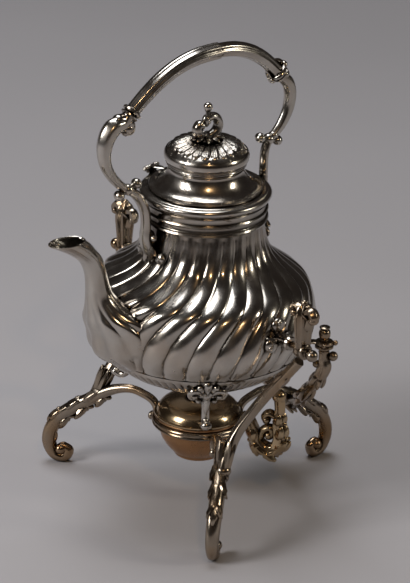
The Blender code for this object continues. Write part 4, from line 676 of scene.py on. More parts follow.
class SAMOVAR_OT_spout(SamovarOperator, bpy.types.Operator):
    """Hollow spout with its lobed root and rolled lip"""

    bl_idname = "samovar.spout"
    bl_label = "Spout"

    def build(self, s):
        sides = 96
        rows = smooth_outline(SPOUT_SECTIONS, 5)

        def ring(row, wall, share):
            reach, z, depth, width, tilt = row
            tilt = math.radians(tilt)
            points = []
            for k in range(sides):
                angle = math.tau * k / sides
                swell = 1 - 0.11 * share * (1 - abs(math.cos(5.5 * angle)) ** 0.8) if wall == 0 else 1
                out = (depth - wall) * swell * math.cos(angle)
                across = (width - wall) * swell * math.sin(angle)
                back = 7.5 * share * across * across
                points.append(Vector((back - reach - out * math.cos(tilt), across, z + out * math.sin(tilt))))
            return points

        count = len(rows)
        outer = []
        for index, row in enumerate(rows):
            share = min(1, max(0, index / (count - 1) - 0.4) / 0.22)
            outer.append(ring(row, 0, share))
        top = rows[0]
        lip = [ring((top[0], top[1] + rise, top[2] + grow, top[3] + grow, top[4]), 0, 0)
               for rise, grow in ((0.0002, 0.0), (0.0007, 0.0), (0.0011, -0.0005), (0.0009, -0.0012))]
        inner = [ring(row, 0.0016, 0) for row in rows[:count // 2]]
        mesh = bpy.data.meshes.new("spout_shell")
        loops = list(reversed(outer)) + lip + inner
        points = [p for loop in loops for p in loop]
        faces = []
        for index in range(len(loops) - 1):
            for k in range(sides):
                a, b = index * sides + k, index * sides + (k + 1) % sides
                faces.append((a, b, b + sides, a + sides))
        last = (len(loops) - 1) * sides
        faces.append(tuple(last + k for k in range(sides)))
        faces.append(tuple(reversed(range(sides))))
        mesh.from_pydata(points, [], faces)
        obj = bpy.data.objects.new("spout_shell", mesh)
        bpy.context.scene.collection.objects.link(obj)
        settle(obj, "spout_shell", "silver", "kettle", ["spout"], angle=50)


class SAMOVAR_OT_kettle_feet(SamovarOperator, bpy.types.Operator):
    """Leaf-topped feet under the kettle"""

    bl_idname = "samovar.kettle_feet"
    bl_label = "Kettle Feet"

    def build(self, s):
        for name, azimuth in (("rear", 0), ("near", -122), ("far", 122)):
            parts = [bar(FOOT_PATH, 1.1, 16, 4, 0.06), bead((0.0792, 0, 0.1010), 0.0042, (0.9, 1.15, 0.9))]
            face = Vector((0.80, 0, -0.60))
            top = Vector((0.0790, 0, 0.1318))
            parts += fan(top, (0.6, 0, 0.8), face, 5, 150, 0.0165, 0.0042, 0.0024, 0.05)
            parts += fan(top + face * 0.0016, (0.6, 0, 0.8), face, 3, 70, 0.0105, 0.0030, 0.0022, -0.1)
            parts += fan(top, (-0.6, 0, -0.8), face, 3, 100, 0.0150, 0.0040, 0.0022)
            parts.append(leaf(top + Vector((-0.002, 0, -0.004)), (-0.3, 0, -1), (1, 0, -0.3), 0.020, 0.0034, 0.0024, 0.0))
            for side in (-1, 1):
                curl = [(0, 0.003, -0.0010, 0.0024), (0.0040, 0.0096, 0.0038, 0.0026), (0.0030, 0.0146, 0.0014, 0.0024),
                        (-0.0012, 0.0138, -0.0046, 0.0022), (-0.0022, 0.0098, -0.0052, 0.0020)]
                parts.append(bar([(top.x + x, side * y, top.z + z, r) for x, y, z, r in curl], 1.1, 12))
                parts.append(bead(top + Vector((-0.0006, side * 0.0108, -0.0030)), 0.0031))
                parts.append(bead(top + Vector((-0.0058, side * 0.0066, -0.0096)), 0.0027))
                parts.append(bead(top + Vector((0.0080, side * 0.0070, 0.0084)), 0.0026))
            parts.append(bead(top + face * 0.0016, 0.0040, (0.8, 1, 1.3)))
            foot = put_together(parts)
            swing(foot, math.radians(azimuth))
            settle(foot, "leaf_foot_" + name, "silver", "kettle", ["kettle_foot_" + name], angle=50)


class SAMOVAR_OT_pivots(SamovarOperator, bpy.types.Operator):
    """Trefoil bosses on the kettle, and the pivot pins"""

    bl_idname = "samovar.pivots"
    bl_label = "Pivots"

    def build(self, s):
        for name, side in (("near", -1), ("far", 1)):
            place = Vector((PIVOT_X, 0, PIVOT_Z))
            parts = [self.turned([(0.0030, 0.0945), (0.0056, 0.0945), (0.0056, 0.1100), (0.0063, 0.1108), (0.0063, 0.1122),
                                  (0.0056, 0.1130), (0.0056, 0.1145), (0.0030, 0.1145), (0.0030, 0.0945)])]
            for turn in (90, 210, 330):
                angle = math.radians(turn)
                out = Vector((math.cos(angle), 0, math.sin(angle)))
                centre = place + out * 0.0098
                depth = math.sqrt(read_table(BODY_OUTLINE, centre.z) ** 2 - centre.x ** 2) - 0.0004
                parts.append(bead(centre + Vector((0, -depth, 0)), 0.0072, (1, 0.5, 1)))
                parts.append(bead(centre + out * 0.0035 + Vector((0, -depth - 0.0028, 0)), 0.0024, (1, 0.8, 1)))
                for sign in (-1, 1):
                    lean = Matrix.Rotation(math.radians(48) * sign, 3, "Y") @ out
                    parts.append(leaf(place + Vector((0, -depth - 0.001, 0)) + out * 0.003, lean, (0, -1, 0),
                                      0.0125, 0.0022, 0.0018, 0.1))
            settle(flip(put_together(parts), side), "trefoil_" + name, "silver", "kettle", ["pivot_boss_" + name], 50)
            pin = self.turned([(0.0001, 0.1031), (0.0024, 0.1031), (0.0025, 0.1035), (0.0025, 0.1355), (0.0039, 0.1356),
                               (0.0042, 0.1360), (0.0042, 0.1371), (0.0039, 0.1375), (0.0028, 0.1377)] +
                              [(0.0052 * math.sin(math.radians(a)), 0.1427 - 0.0052 * math.cos(math.radians(a)))
                               for a in range(32, 180, 12)] + [(0.0001, 0.1479)])
            settle(flip(pin, side), "ball_pin_" + name, "stand_silver", "pivot_pin_" + name, ["pivot_pin_" + name], 35)

    def turned(self, outline):
        """Spin an outline of (radius, reach) about the pivot."""
        obj = lathe(outline, 28)
        return reshape(obj, lambda p: Vector((PIVOT_X + p.x, -p.z, PIVOT_Z + p.y)))


class SAMOVAR_OT_crowns(SamovarOperator, bpy.types.Operator):
    """Fluted crown brackets over the pivots"""

    bl_idname = "samovar.crowns"
    bl_label = "Crown Brackets"

    def build(self, s):
        for name, side in (("near", -1), ("far", 1)):
            parts = [bar(TRUNK_PATH, 1.75, 30, 10, 0.09), bar(HORN_PATH, 1.3, 18, 6, 0.07),
                     bar(CROOK_PATH, 1.2, 18, 6, 0.07), bead((0.0131, 0, 0.0325), 0.0040, (1, 1.25, 1)),
                     bead((-0.0122, 0, 0.0315), 0.0038, (1, 1.25, 1)), bead((0, 0, 0.0440), 0.0030)]
            parts += fan((0, 0, 0.028), (0, 0, 1), (1, 0, 0), 3, 70, 0.0150, 0.0028, 0.0055, 0.0)
            parts += [leaf((0.002, 0, 0.018), (0.25, 0, 1), (1, 0, 0), 0.0180, 0.0034, 0.0030, -0.1),
                      leaf((-0.002, 0, 0.018), (-0.25, 0, 1), (-1, 0, 0), 0.0170, 0.0034, 0.0030, -0.1)]
            eye = lathe([(0.0029, -0.0052), (0.0062, -0.0052), (0.0068, -0.0046), (0.0068, -0.0020), (0.0063, -0.0012),
                         (0.0063, 0.0012), (0.0068, 0.0020), (0.0068, 0.0046), (0.0062, 0.0052), (0.0029, 0.0052),
                         (0.0029, -0.0052)], 28)
            parts.append(reshape(eye, lambda p: Vector((p.z, p.x, p.y))))
            crown = put_together(parts)
            reshape(crown, lambda p: Vector((PIVOT_X + p.y, -PIVOT_REACH - p.x, PIVOT_Z + p.z)))
            settle(flip(crown, side), "crown_" + name, "stand_silver", "stand", ["bracket_" + name], 50)


class SAMOVAR_OT_rest_lugs(SamovarOperator, bpy.types.Operator):
    """Rear lugs with their barrel finials"""

    bl_idname = "samovar.rest_lugs"
    bl_label = "Rest Lugs"

    def build(self, s):
        for name, side in (("near", -1), ("far", 1)):
            barrel = lathe([(0.0001, 0.1494), (0.0074, 0.1494), (0.0081, 0.1499), (0.0081, 0.1516), (0.0076, 0.1522),
                            (0.0050, 0.1524), (0.0036, 0.1532), (0.0034, 0.1540), (0.0044, 0.1552), (0.0051, 0.1572),
                            (0.0052, 0.1596), (0.0049, 0.1616), (0.0040, 0.1627), (0.0034, 0.1632), (0.0040, 0.1638),
                            (0.0047, 0.1646), (0.0046, 0.1654), (0.0036, 0.1660), (0.0001, 0.1662)], 28)
            reshape(barrel, lambda p: p + Vector((0.107, 0, 0)))
            tongue = bar([(0.0955, 0.1508, 0.0013), (0.1000, 0.1508, 0.0013), (0.1065, 0.1508, 0.0013)], 3.6, 12)
            lug = put_together([barrel, tongue, bead((0.1165, 0, 0.1508), 0.0024), bead((0.107, 0.0090, 0.1508), 0.0019),
                                bead((0.107, -0.0090, 0.1508), 0.0019)])
            swing(lug, math.radians(41 * side))
            settle(lug, "barrel_lug_" + name, "stand_silver", "kettle", ["rest_lug_" + name], 35)


class SAMOVAR_OT_handle(SamovarOperator, bpy.types.Operator):
    """Handle: lobed grip, collars, scroll arms and brackets"""

    bl_idname = "samovar.handle"
    bl_label = "Handle"

    def build(self, s):
        grip = [bar(GRIP_FRONT_PATH, 1.0, 64, 8, 0.06, 5, start=False, end=False),
                bar(GRIP_REAR_PATH, 1.0, 64, 8, 0.06, 5, start=False, end=False)]
        for k in range(8):
            angle = math.tau * (k + 0.5) / 8
            out = Vector((0, math.cos(angle), math.sin(angle)))
            root = Vector((0.0000, 0, 0.4120)) + out * 0.0052
            grip.append(leaf(root, (1, 0, -0.03), out, 0.0125, 0.0029, 0.0014, 0.06))
        settle(put_together(grip), "lobed_grip", "silver", "kettle", ["grip"], 60)
        collar = [(0.0001, 0.0002), (0.0066, 0.0002), (0.0082, 0.0008), (0.0090, 0.0020), (0.0087, 0.0034), (0.0072, 0.0041),
                  (0.0064, 0.0046), (0.0072, 0.0051), (0.0082, 0.0057), (0.0082, 0.0067), (0.0070, 0.0074),
                  (0.0058, 0.0080), (0.0056, 0.0085), (0.0001, 0.0085)]
        for name, here, ahead in (("front", GRIP_FRONT_PATH[0], GRIP_FRONT_PATH[1]),
                                  ("rear", GRIP_REAR_PATH[-1], GRIP_REAR_PATH[-2])):
            place = Vector((here[0], 0, here[1]))
            out = (place - Vector((ahead[0], 0, ahead[1]))).normalized()
            turn = out.to_track_quat("Z", "Y").to_matrix()
            obj = reshape(lathe(collar, 32), lambda p, turn=turn, place=place, out=out:
                          place + out * 0.0002 + turn @ p)
            parts = [obj]
            if name == "rear":
                up = Vector((-out.z, 0, out.x))
                for sign in (-1, 1):
                    centre = place + out * 0.003 + up * 0.0085 * sign
                    parts.append(bead(centre, 0.0031, (1, 1.5, 1)))
                    parts.append(leaf(centre, -out, up * sign, 0.012, 0.0036, 0.0016, 0.25))
            settle(put_together(parts), "collar_" + name, "silver", "kettle", ["grip_collar_" + name], 40)
        front = [bar(ARM_FRONT_PATH, 1.0, 24, 6, 0.05, start=False),
                 bar([(-0.0935, 0.3705, 0.0050), (-0.0872, 0.3690, 0.0052), (-0.0822, 0.3640, 0.0050),
                      (-0.0818, 0.3590, 0.0044), (-0.0858, 0.3578, 0.0036)], 1.1, 18),
                 bead((-0.0838, 0, 0.3612), 0.0052, (1, 1.2, 1))]
        front.append(leaf((-0.1010, 0, 0.3690), (-0.75, 0, -0.95), (-0.8, 0, 0.6), 0.018, 0.0050, 0.0016, 0.25))
        settle(put_together(front), "scroll_arm_front", "silver", "kettle", ["handle_arm_front"], 50)
        rear = [bar(ARM_REAR_PATH, 1.0, 24, 6, 0.05, start=False), bead((0.0800, 0, 0.3768), 0.0046, (1, 1.2, 1))]
        rear.append(leaf((0.0842, 0, 0.3705), (0.28, 0, -1), (1, 0, 0.2), 0.020, 0.0040, 0.0020, 0.2))
        rear.append(bead((0.0712, 0, 0.3222), 0.0046, (1, 1, 0.8)))
        settle(put_together(rear), "scroll_arm_rear", "silver", "kettle", ["handle_arm_rear"], 50)
        for name, path, joint, sign in (("front", FRONT_BRACKET_PATH, (-0.082, 0.305), -1),
                                        ("rear", REAR_BRACKET_PATH, (0.066, 0.3195), 1)):
            place = Vector((joint[0], 0, joint[1]))
            lean = Vector((-0.92, 0, -0.39)) if sign < 0 else Vector((0.95, 0, -0.3))
            lean = lean.normalized() * 0.0096
            parts = [bar(path, 1.35, 20, 4, 0.06), bead(place, 0.0050, (1, 1.1, 1))]
            a, b = place - lean, place + lean
            parts.append(bar([(a.x, a.z, 0.0028), (place.x, place.z, 0.0023), (b.x, b.z, 0.0028)], 1, 14))
            parts += [bead(a, 0.0045, (1, 1.2, 1)), bead(b, 0.0045, (1, 1.2, 1))]
            if sign < 0:
                parts += [bead((-0.0585, 0, 0.2580), 0.0050), bead((-0.0572, 0.0, 0.2500), 0.0034),
                          bar([(-0.0640, 0.2640, 0.0030), (-0.0610, 0.2600, 0.0034), (-0.0590, 0.2570, 0.0036)], 1.2, 12)]
            root = Vector((sign * 0.0600, 0, 0.2500))
            for across in (-2, -1, 0, 1, 2):
                down = Vector((sign * (0.12 - 0.06 * abs(across)), across * 0.62, -1 + 0.2 * abs(across)))
                parts.append(leaf(root, down, (sign, 0, 0.35), 0.0165 - 0.0008 * abs(across), 0.0032, 0.0018, -0.05))
            for across in (-1, 1):
                parts.append(bead((sign * 0.0560, across * 0.0125, 0.2400), 0.0050, (0.65, 1.2, 1)))
                parts.append(bead((sign * 0.0590, across * 0.0072, 0.2575), 0.0030))
            settle(put_together(parts), "scroll_bracket_" + name, "silver", "kettle", ["handle_bracket_" + name], 50)


class SAMOVAR_OT_lid(SamovarOperator, bpy.types.Operator):
    """Lid flange, leafy dome and scroll finial"""

    bl_idname = "samovar.lid"
    bl_label = "Lid"

    def build(self, s):
        settle(lathe(LID_OUTLINE, 160), "lid_flange", "silver", "lid", ["lid_base"], 35)
        leaves = 22
        dome = lathe(smooth_outline(DOME_OUTLINE, 3), leaves * 20)

        def relief(point):
            radius = math.hypot(point.x, point.y)
            if radius < 0.0105 or radius > 0.0352 or point.z < 0.3234 + (0.0345 - radius) * 0.05:
                return point
            crest = read_table([(0.0105, 0.3332), (0.0160, 0.3328), (0.0205, 0.3321), (0.0245, 0.3311), (0.0280, 0.3298),
                                (0.0308, 0.3284), (0.0330, 0.3268), (0.0346, 0.3252), (0.0358, 0.3234)], radius)
            if point.z < crest - 0.0008:
                return point
            angle = math.atan2(point.y, point.x) + (radius - 0.0105) * 6
            across = (angle * leaves / math.tau) % 1 * 2 - 1
            tip = 0.0322 - 0.0045 * across * across
            lift = 0.0
            if radius < tip:
                lift = 0.0017 * (1 - abs(across) ** 4) - 0.0007 * (1 - abs(math.cos(across * math.pi * 2.5)))
                lift *= min(1, (tip - radius) / 0.0012) * min(1, (radius - 0.0105) / 0.003)
            half = (angle * leaves / math.tau / 2) % 1 * 2 - 1
            pit = math.hypot(half * 0.0034 * math.pi, radius - 0.0334)
            if pit < 0.0009:
                lift -= 0.0010
            return Vector((point.x, point.y, point.z - 0.0012 + lift))

        reshape(dome, relief)
        settle(dome, "leafy_dome", "silver", "lid", ["lid_dome"], 60)
        self.finial()

    def finial(self):
        low = 0.3335
        parts = [lathe([(0.0001, low), (0.0085, low), (0.0105, low + 0.0010), (0.0085, low + 0.0026), (0.0050, low + 0.0040),
                        (0.0001, low + 0.0044)], 32)]
        for k in range(9):
            angle = math.tau * k / 9
            out = Vector((math.cos(angle), math.sin(angle), 0))
            parts.append(leaf(out * 0.0050 + Vector((0, 0, low + 0.0032)), out, (0, 0, 1), 0.0098, 0.0026, 0.0014, 0.16))
        parts.append(bar([(-0.0030, low + 0.0028, 0.0034), (-0.0086, low + 0.0056, 0.0038), (-0.0112, low + 0.0108, 0.0038),
                          (-0.0088, low + 0.0152, 0.0034), (-0.0052, low + 0.0146, 0.0028)], 1.2, 20, 5, 0.06))
        parts.append(bead((-0.0074, 0, low + 0.0140), 0.0042, (1, 1.2, 1)))
        parts.append(bar([(0.0030, low + 0.0028, 0.0034), (0.0092, low + 0.0056, 0.0040), (0.0116, low + 0.0114, 0.0040),
                          (0.0094, low + 0.0172, 0.0038), (0.0038, low + 0.0202, 0.0036), (-0.0014, low + 0.0186, 0.0034),
                          (-0.0022, low + 0.0142, 0.0028)], 1.2, 20, 5, 0.06))
        parts.append(bead((-0.0008, 0, low + 0.0165), 0.0034, (1, 1.2, 1)))
        parts.append(lathe([(0.0001, low + 0.020), (0.0024, low + 0.0212), (0.0020, low + 0.0240), (0.0018, low + 0.0250),
                            (0.0026, low + 0.0256), (0.0018, low + 0.0262), (0.0018, low + 0.0284), (0.0001, low + 0.029)], 18))
        parts.append(bead((0, 0, 0.3628), 0.0040))
        parts.append(lathe([(0.0001, 0.3270), (0.0019, 0.3270), (0.0019, 0.3350), (0.0001, 0.3350)], 16))
        settle(put_together(parts), "scroll_finial", "silver", "lid", ["finial"], 50)


class SAMOVAR_OT_hinge(SamovarOperator, bpy.types.Operator):
    """Lid hinge: rounded knuckles, pin and pointed tab"""

    bl_idname = "samovar.hinge"
    bl_label = "Lid Hinge"

    def build(self, s):
        fixed = [self.barrel(0.0038, 0.0078, side) for side in (-1, 1)]
        fixed.append(leaf((0.0592, 0, 0.2900), (-0.32, 0, -1), (1, 0, -0.2), 0.0150, 0.0072, 0.0011, -0.05))
        fixed.append(bar([(0.0588, -0.0066, 0.2893, 0.0013), (0.0586, 0, 0.2888, 0.0013), (0.0588, 0.0066, 0.2893, 0.0013)]))
        moving = [self.barrel(-0.0034, 0.0034, 1), leaf((0.0600, 0, 0.2936), (-1, 0, 0), (0, 0, 1), 0.0150, 0.0044, 0.0008, 0.0)]
        pin = [bar([(HINGE_X, -0.0082, HINGE_Z, 0.0010), (HINGE_X, 0, HINGE_Z, 0.0010), (HINGE_X, 0.0082, HINGE_Z, 0.0010)]),
               bead((HINGE_X, -0.0088, HINGE_Z), 0.0017), bead((HINGE_X, 0.0088, HINGE_Z), 0.0017)]
        for parts, name, body, node in ((fixed, "hinge_barrels", "kettle", "hinge_bracket"),
                                        (moving, "hinge_tab", "lid", "hinge_leaf"), (pin, "hinge_rod", "kettle", "hinge_pin")):
            settle(swing(put_together(parts), math.radians(105)), name, "silver", body, [node], 40)

    def barrel(self, start, end, side):
        """Rounded knuckle about the hinge's line, between two places along it."""
        middle = (start + end) / 2
        obj = lathe([(0.0001, start), (0.0021, start), (0.0025, start + 0.0005), (0.0025, middle - 0.0006), (0.0022, middle),
                     (0.0025, middle + 0.0006), (0.0025, end - 0.0005), (0.0021, end), (0.0001, end)], 24)
        return reshape(obj, lambda p: Vector((HINGE_X + p.x, side * p.z, HINGE_Z + p.y)))


class SAMOVAR_OT_legs(SamovarOperator, bpy.types.Operator):
    """Scroll legs and the ring that they hold"""

    bl_idname = "samovar.legs"
    bl_label = "Legs"

    def build(self, s):
        for name, azimuth, twist in (("rear", 0, 0), ("near", -121, -12), ("far", 121, 12)):
            parts = [bar(LEG_PATH, 1.06, 20, 0, 0, 5), bead((0.1312, 0, 0.0128), 0.0054, (1, 1.3, 1)),
                     bead((0.0487, 0, 0.0600), 0.0042, (0.8, 1.1, 1))]
            ridge = []
            for share in [k / 22 for k in range(2, 17)]:
                place, step = along_path(LEG_PATH, share)
                out = Vector((step[1], -step[0])).normalized()
                ridge.append((place[0] + out.x * place[2] * 0.72, place[1] + out.y * place[2] * 0.72, 0.0014))
            parts.append(bar(ridge, 1.2, 10))
            for share, length, spread in ((0.40, 0.017, 60), (0.47, 0.020, 75), (0.56, 0.016, 60)):
                place, step = along_path(LEG_PATH, share)
                along = Vector((-step[0], 0, -step[1])).normalized()
                under = Vector((along.z, 0, -along.x))
                if under.z > 0:
                    under = -under
                root = Vector((place[0], 0, place[1])) + under * place[2] * 0.62
                parts += fan(root, along + under * 0.32, under, 3, spread, length, 0.0030, 0.0022, -0.05)
                parts.append(bead(root + under * 0.002, 0.0030, (1.4, 1, 0.8)))
            for share in (0.30, 0.36):
                place, step = along_path(LEG_PATH, share)
                along = Vector((-step[0], 0, -step[1])).normalized()
                under = Vector((along.z, 0, -along.x))
                if under.x > 0:
                    under = -under
                root = Vector((place[0], 0, place[1])) + under * place[2] * 0.75
                parts.append(leaf(root, along + under * 0.2, under, 0.011, 0.0026, 0.0016, 0.0))
            place, step = along_path(LEG_PATH, 0.52)
            root = Vector((place[0], 0, place[1]))
            for across in (-1, 1):
                parts.append(leaf(root + Vector((0.004, across * 0.0040, 0)), (0.75, 0, -0.62), (0, across, 0.2), 0.024,
                                  0.0040, 0.0018, 0.1))
            for share, length, width in ((0.56, 0.026, 0.0046), (0.48, 0.024, 0.0050), (0.40, 0.020, 0.0044)):
                place, step = along_path(LEG_PATH, share)
                down = -Vector((step[0], 0, step[1])).normalized()
                out = Vector((-down.z, 0, down.x))
                root = Vector((place[0], 0, place[1])) + out * place[2] * 0.55
                parts += fan(root, down, out, 3, 50, length, width, 0.0026, 0.1)
            leg = put_together(parts)
            reshape(leg, lambda p: Vector((p.x, p.y, max(0.0, p.z))))
            swing(leg, math.radians(azimuth), math.radians(twist))
            settle(leg, "scroll_leg_" + name, "stand_silver", "stand", ["leg_" + name], 50)
        settle(lathe(BURNER_RING_OUTLINE, 96), "reeded_ring", "stand_silver", "stand", ["burner_ring"], 40)


class SAMOVAR_OT_posts(SamovarOperator, bpy.types.Operator):
    """Posts up to the pivots, and rear arms up to the rest lugs"""

    bl_idname = "samovar.posts"
    bl_label = "Posts"

    def build(self, s):
        for name, side in (("near", -1), ("far", 1)):
            parts = [bar(POST_PATH, 1.1, 24, 4, 0.07, 5, end=False)]
            for share, length, count in ((0.02, 0.030, 6), (0.14, 0.022, 6), (0.86, 0.016, 5)):
                place, step = along_path(POST_PATH, share)
                along = Vector(step).normalized() * (1 if share < 0.5 else -1)
                side_way = along.cross(Vector((0, 0, 1))).normalized()
                for k in range(count):
                    out = Matrix.Rotation(math.tau * k / count, 3, along) @ side_way
                    parts.append(leaf(Vector(place[:3]) + out * place[3] * 0.55, along + out * 0.12, out, length, 0.0034,
                                      0.0020, 0.03))
            place, step = along_path(POST_PATH, 0.1)
            parts.append(bead(place[:3], 0.0072, (1, 1, 0.8)))
            settle(flip(put_together(parts), side), "leafy_post_" + name, "stand_silver", "stand", ["post_" + name], 50)
            self.arm(name, side)

    def arm(self, name, side):
        parts = [bar(REAR_ARM_PATH, 1.0, 24, 5, 0.08, 5)]
        for share, length, count in ((0.06, 0.022, 5), (0.30, 0.018, 5), (0.50, 0.018, 5), (0.66, 0.014, 5)):
            place, step = along_path(REAR_ARM_PATH, share)
            along = -Vector(step).normalized()
            side_way = along.cross(Vector((0, 0, 1))).normalized()
            for k in range(count):
                out = Matrix.Rotation(math.tau * k / count, 3, along) @ side_way
                parts.append(leaf(Vector(place[:3]) + out * place[3] * 0.6, along + out * 0.22, out, length, 0.0032, 0.0018,
                                  0.0))
        top = Vector((0.0808, -0.0702, 0))
        out = top.normalized()
        parts.append(bead(top + out * 0.0080 + Vector((0, 0, 0.1380)), 0.0044))
        parts.append(bead(top - out * 0.0060 + Vector((0, 0, 0.1300)), 0.0036))
        plate = lathe([(0.0001, 0.1460), (0.0076, 0.1460), (0.0082, 0.1464), (0.0082, 0.1484), (0.0078, 0.1488),
                       (0.0001, 0.1490)], 28)
        parts.append(reshape(plate, lambda p: p + top))
        cup = lathe([(0.0001, 0.1410), (0.0046, 0.1410), (0.0050, 0.1420), (0.0046, 0.1434), (0.0058, 0.1450),
                     (0.0074, 0.1461), (0.0001, 0.1462)], 28)
        parts.append(reshape(cup, lambda p: p + top))
        settle(flip(put_together(parts), side), "leafy_arm_" + name, "stand_silver", "stand", ["rear_arm_" + name], 50)


class SAMOVAR_OT_burner(SamovarOperator, bpy.types.Operator):
    """Spirit burner: bowl, domed top, cap and scroll handle"""

    bl_idname = "samovar.burner"
    bl_label = "Burner"

    def build(self, s):
        settle(lathe(BOWL_OUTLINE, 96), "copper_bowl", "copper", "burner", ["burner_bowl"], 35)
        settle(lathe(TOP_OUTLINE, 96), "domed_top", "gilt_brass", "burner", ["burner_top"], 35)
        settle(lathe(CAP_OUTLINE, 48), "wick_cap", "gilt_brass", "snuffer_cap", ["snuffer_cap"], 35)
        parts = [bar(BURNER_HANDLE_PATH, 1.25, 30, 5, 0.10, 5, start=False), bead((0.0718, 0, 0.1032), 0.0064),
                 bar([(0.0560, 0.0600, 0.0034), (0.0590, 0.0690, 0.0036), (0.0650, 0.0720, 0.0036), (0.0672, 0.0665, 0.0032),
                      (0.0638, 0.0628, 0.0028)], 1.2, 18, 4, 0.06), bead((0.0640, 0, 0.0650), 0.0040, (1, 1.3, 1)),
                 bar([(0.0700, 0.0830, 0.0034), (0.0640, 0.0860, 0.0036), (0.0596, 0.0820, 0.0032), (0.0612, 0.0775, 0.0028)],
                     1.2, 18, 4, 0.06), bead((0.0616, 0, 0.0796), 0.0038, (1, 1.3, 1))]
        for share, length in ((0.20, 0.013), (0.32, 0.015), (0.44, 0.015), (0.56, 0.015), (0.68, 0.014), (0.80, 0.012)):
            place, step = along_path(BURNER_HANDLE_PATH, share)
            along = Vector((step[0], 0, step[1])).normalized()
            out = Vector((along.z, 0, -along.x))
            root = Vector((place[0], 0, place[1]))
            for across in (-1, 1):
                parts.append(leaf(root + Vector((0, across * 0.0055, 0)), along + Vector((0, across * 0.12, 0)) + out * 0.12,
                                  (0, across, 0.2), length, 0.0046, 0.0024, 0.15))
            parts.append(leaf(root + out * 0.0042, along + out * 0.14, out, length, 0.0048, 0.0024, 0.15))
            parts.append(bead(root + out * 0.0052, 0.0026))
        handle = put_together(parts)
        swing(handle, math.radians(-52))
        settle(handle, "scroll_handle", "gilt_brass", "burner", ["burner_handle"], 50)


class SAMOVAR_OT_finish_nodes(bpy.types.Operator):
    """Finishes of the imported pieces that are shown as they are"""

    bl_idname = "samovar.finish_nodes"
    bl_label = "Finish Pieces"
    bl_options = {"REGISTER", "UNDO"}

    def execute(self, context):
        slots = {row["node"]: row["material_slot"] for row in frame["record"]["subparts"]}
        for name, node in frame["nodes"].items():
            node.data.materials.clear()
            node.data.materials.append(finish(slots[name]))
        return {"FINISHED"}


class SAMOVAR_OT_stage(bpy.types.Operator):
    """Floor, backdrop, lamps and camera"""

    bl_idname = "samovar.stage"
    bl_label = "Stage"
    bl_options = {"REGISTER", "UNDO"}

    def execute(self, context):
        s = stage_settings()
        self.floor(s)
        self.lamps(s)
        self.camera(s)
        context.scene.view_settings.view_transform = "Standard"
        return {"FINISHED"}

    def floor(self, s):
        bpy.ops.object.select_all(action="DESELECT")
        bpy.ops.mesh.primitive_plane_add(size=s.floor_reach, location=(0, 0, 0))
        floor = bpy.context.object
        floor.name = "floor"
        mat, tree, shader = new_material("Pale floor")
        tone = remap(tree, noise(tree, 3, 2), 0.3, 0.7, 0.0, 1.0)
        base = blend_colour(tree, tone, tuple(c * 0.96 for c in s.floor), tuple(s.floor))
        link(tree, base, shader.inputs["Base Color"])
        shader.inputs["Roughness"].default_value = 0.7
        floor.data.materials.append(mat)
        world = bpy.data.worlds.new("Studio")
        world.use_nodes = True
        bpy.context.scene.world = world
        tree = world.node_tree
        background = tree.nodes["Background"]
        background.inputs["Color"].default_value = (0.026, 0.022, 0.02, 1)
        background.inputs["Strength"].default_value = 1

    def lamps(self, s):
        target = Vector((0, 0, 0.2))
        for name, place, size, power, colour in (
                ("key_lamp", (-2.1, 0.3, 1.5), (0.8, 1.1), 44, (1, 0.98, 0.96)),
                ("top_lamp", (0.1, 0.6, 2.3), (1.1, 1.3), 30, (0.97, 0.98, 1)),
                ("right_lamp", (1.5, -1.5, 1.2), (0.25, 0.7), 10, (1, 0.95, 0.82)),
                ("warm_lamp", (-0.9, -1.7, 2.0), (0.12, 0.12), 7, (1, 0.66, 0.34))):
            bpy.ops.object.light_add(type="AREA", location=place)
            lamp = bpy.context.object
            lamp.name = name
            lamp.data.shape = "RECTANGLE"
            lamp.data.size = size[0]
            lamp.data.size_y = size[1]
            lamp.data.color = colour
            lamp.data.energy = power * s.light
            lamp.rotation_euler = (target - Vector(place)).to_track_quat("-Z", "Y").to_euler()

    def camera(self, s):
        right = Vector((math.cos(math.radians(-37)), math.sin(math.radians(-37)), 0))
        away = Vector((-right.y, right.x, 0))
        forward = away * math.cos(s.camera_rise) - Vector((0, 0, math.sin(s.camera_rise)))
        up = right.cross(forward)
        look = Vector((AXIS_X, 0, s.camera_height)) + right * 0.00225
        turned_right = right * math.cos(s.camera_roll) + up * math.sin(s.camera_roll)
        turned_up = up * math.cos(s.camera_roll) - right * math.sin(s.camera_roll)
        bpy.ops.object.camera_add(location=(0, 0, 0))
        camera = bpy.context.object
        camera.name = "camera"
        axes = Matrix((turned_right, turned_up, -forward)).transposed().to_4x4()
        camera.matrix_world = Matrix.Translation(look - forward * s.camera_distance) @ axes
        camera.data.sensor_width = 36
        camera.data.lens = 4559 / 583 * 36
        bpy.context.scene.camera = camera


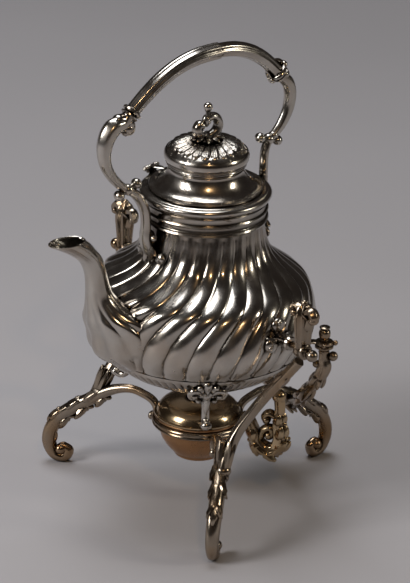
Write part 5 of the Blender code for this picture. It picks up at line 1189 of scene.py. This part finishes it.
class SAMOVAR_PT_panel(bpy.types.Panel):
    """Lists the samovar's settings and pieces"""

    bl_idname = "SAMOVAR_PT_panel"
    bl_label = "Samovar"
    bl_space_type = "VIEW_3D"
    bl_region_type = "UI"
    bl_category = "Samovar"

    def draw(self, context):
        layout = self.layout
        for group in (finish_settings(), shape_settings(), stage_settings()):
            box = layout.box()
            for name in group.__annotations__:
                box.prop(group, name)
        for operator in OPERATORS:
            layout.operator(operator.bl_idname)


OPERATORS = (SAMOVAR_OT_finish_nodes, SAMOVAR_OT_kettle_body, SAMOVAR_OT_rim, SAMOVAR_OT_spout, SAMOVAR_OT_kettle_feet,
             SAMOVAR_OT_pivots, SAMOVAR_OT_crowns, SAMOVAR_OT_rest_lugs, SAMOVAR_OT_handle, SAMOVAR_OT_lid,
             SAMOVAR_OT_hinge, SAMOVAR_OT_legs, SAMOVAR_OT_posts, SAMOVAR_OT_burner, SAMOVAR_OT_stage)
GROUPS = (SamovarFinish, SamovarShape, SamovarStage)


def register():
    for cls in GROUPS + OPERATORS + (SAMOVAR_PT_panel,):
        bpy.utils.register_class(cls)
    bpy.types.Scene.samovar_finish = PointerProperty(type=SamovarFinish)
    bpy.types.Scene.samovar_shape = PointerProperty(type=SamovarShape)
    bpy.types.Scene.samovar_stage = PointerProperty(type=SamovarStage)


def unregister():
    for name in ("samovar_finish", "samovar_shape", "samovar_stage"):
        delattr(bpy.types.Scene, name)
    for cls in reversed(GROUPS + OPERATORS + (SAMOVAR_PT_panel,)):
        bpy.utils.unregister_class(cls)


def main():
    register()
    bpy.ops.samovar.finish_nodes()
    bpy.ops.samovar.kettle_body()
    bpy.ops.samovar.rim()
    bpy.ops.samovar.spout()
    bpy.ops.samovar.kettle_feet()
    bpy.ops.samovar.pivots()
    bpy.ops.samovar.crowns()
    bpy.ops.samovar.rest_lugs()
    bpy.ops.samovar.handle()
    bpy.ops.samovar.lid()
    bpy.ops.samovar.hinge()
    bpy.ops.samovar.legs()
    bpy.ops.samovar.posts()
    bpy.ops.samovar.burner()
    bpy.ops.samovar.stage()


if __name__ == "__main__":
    main()
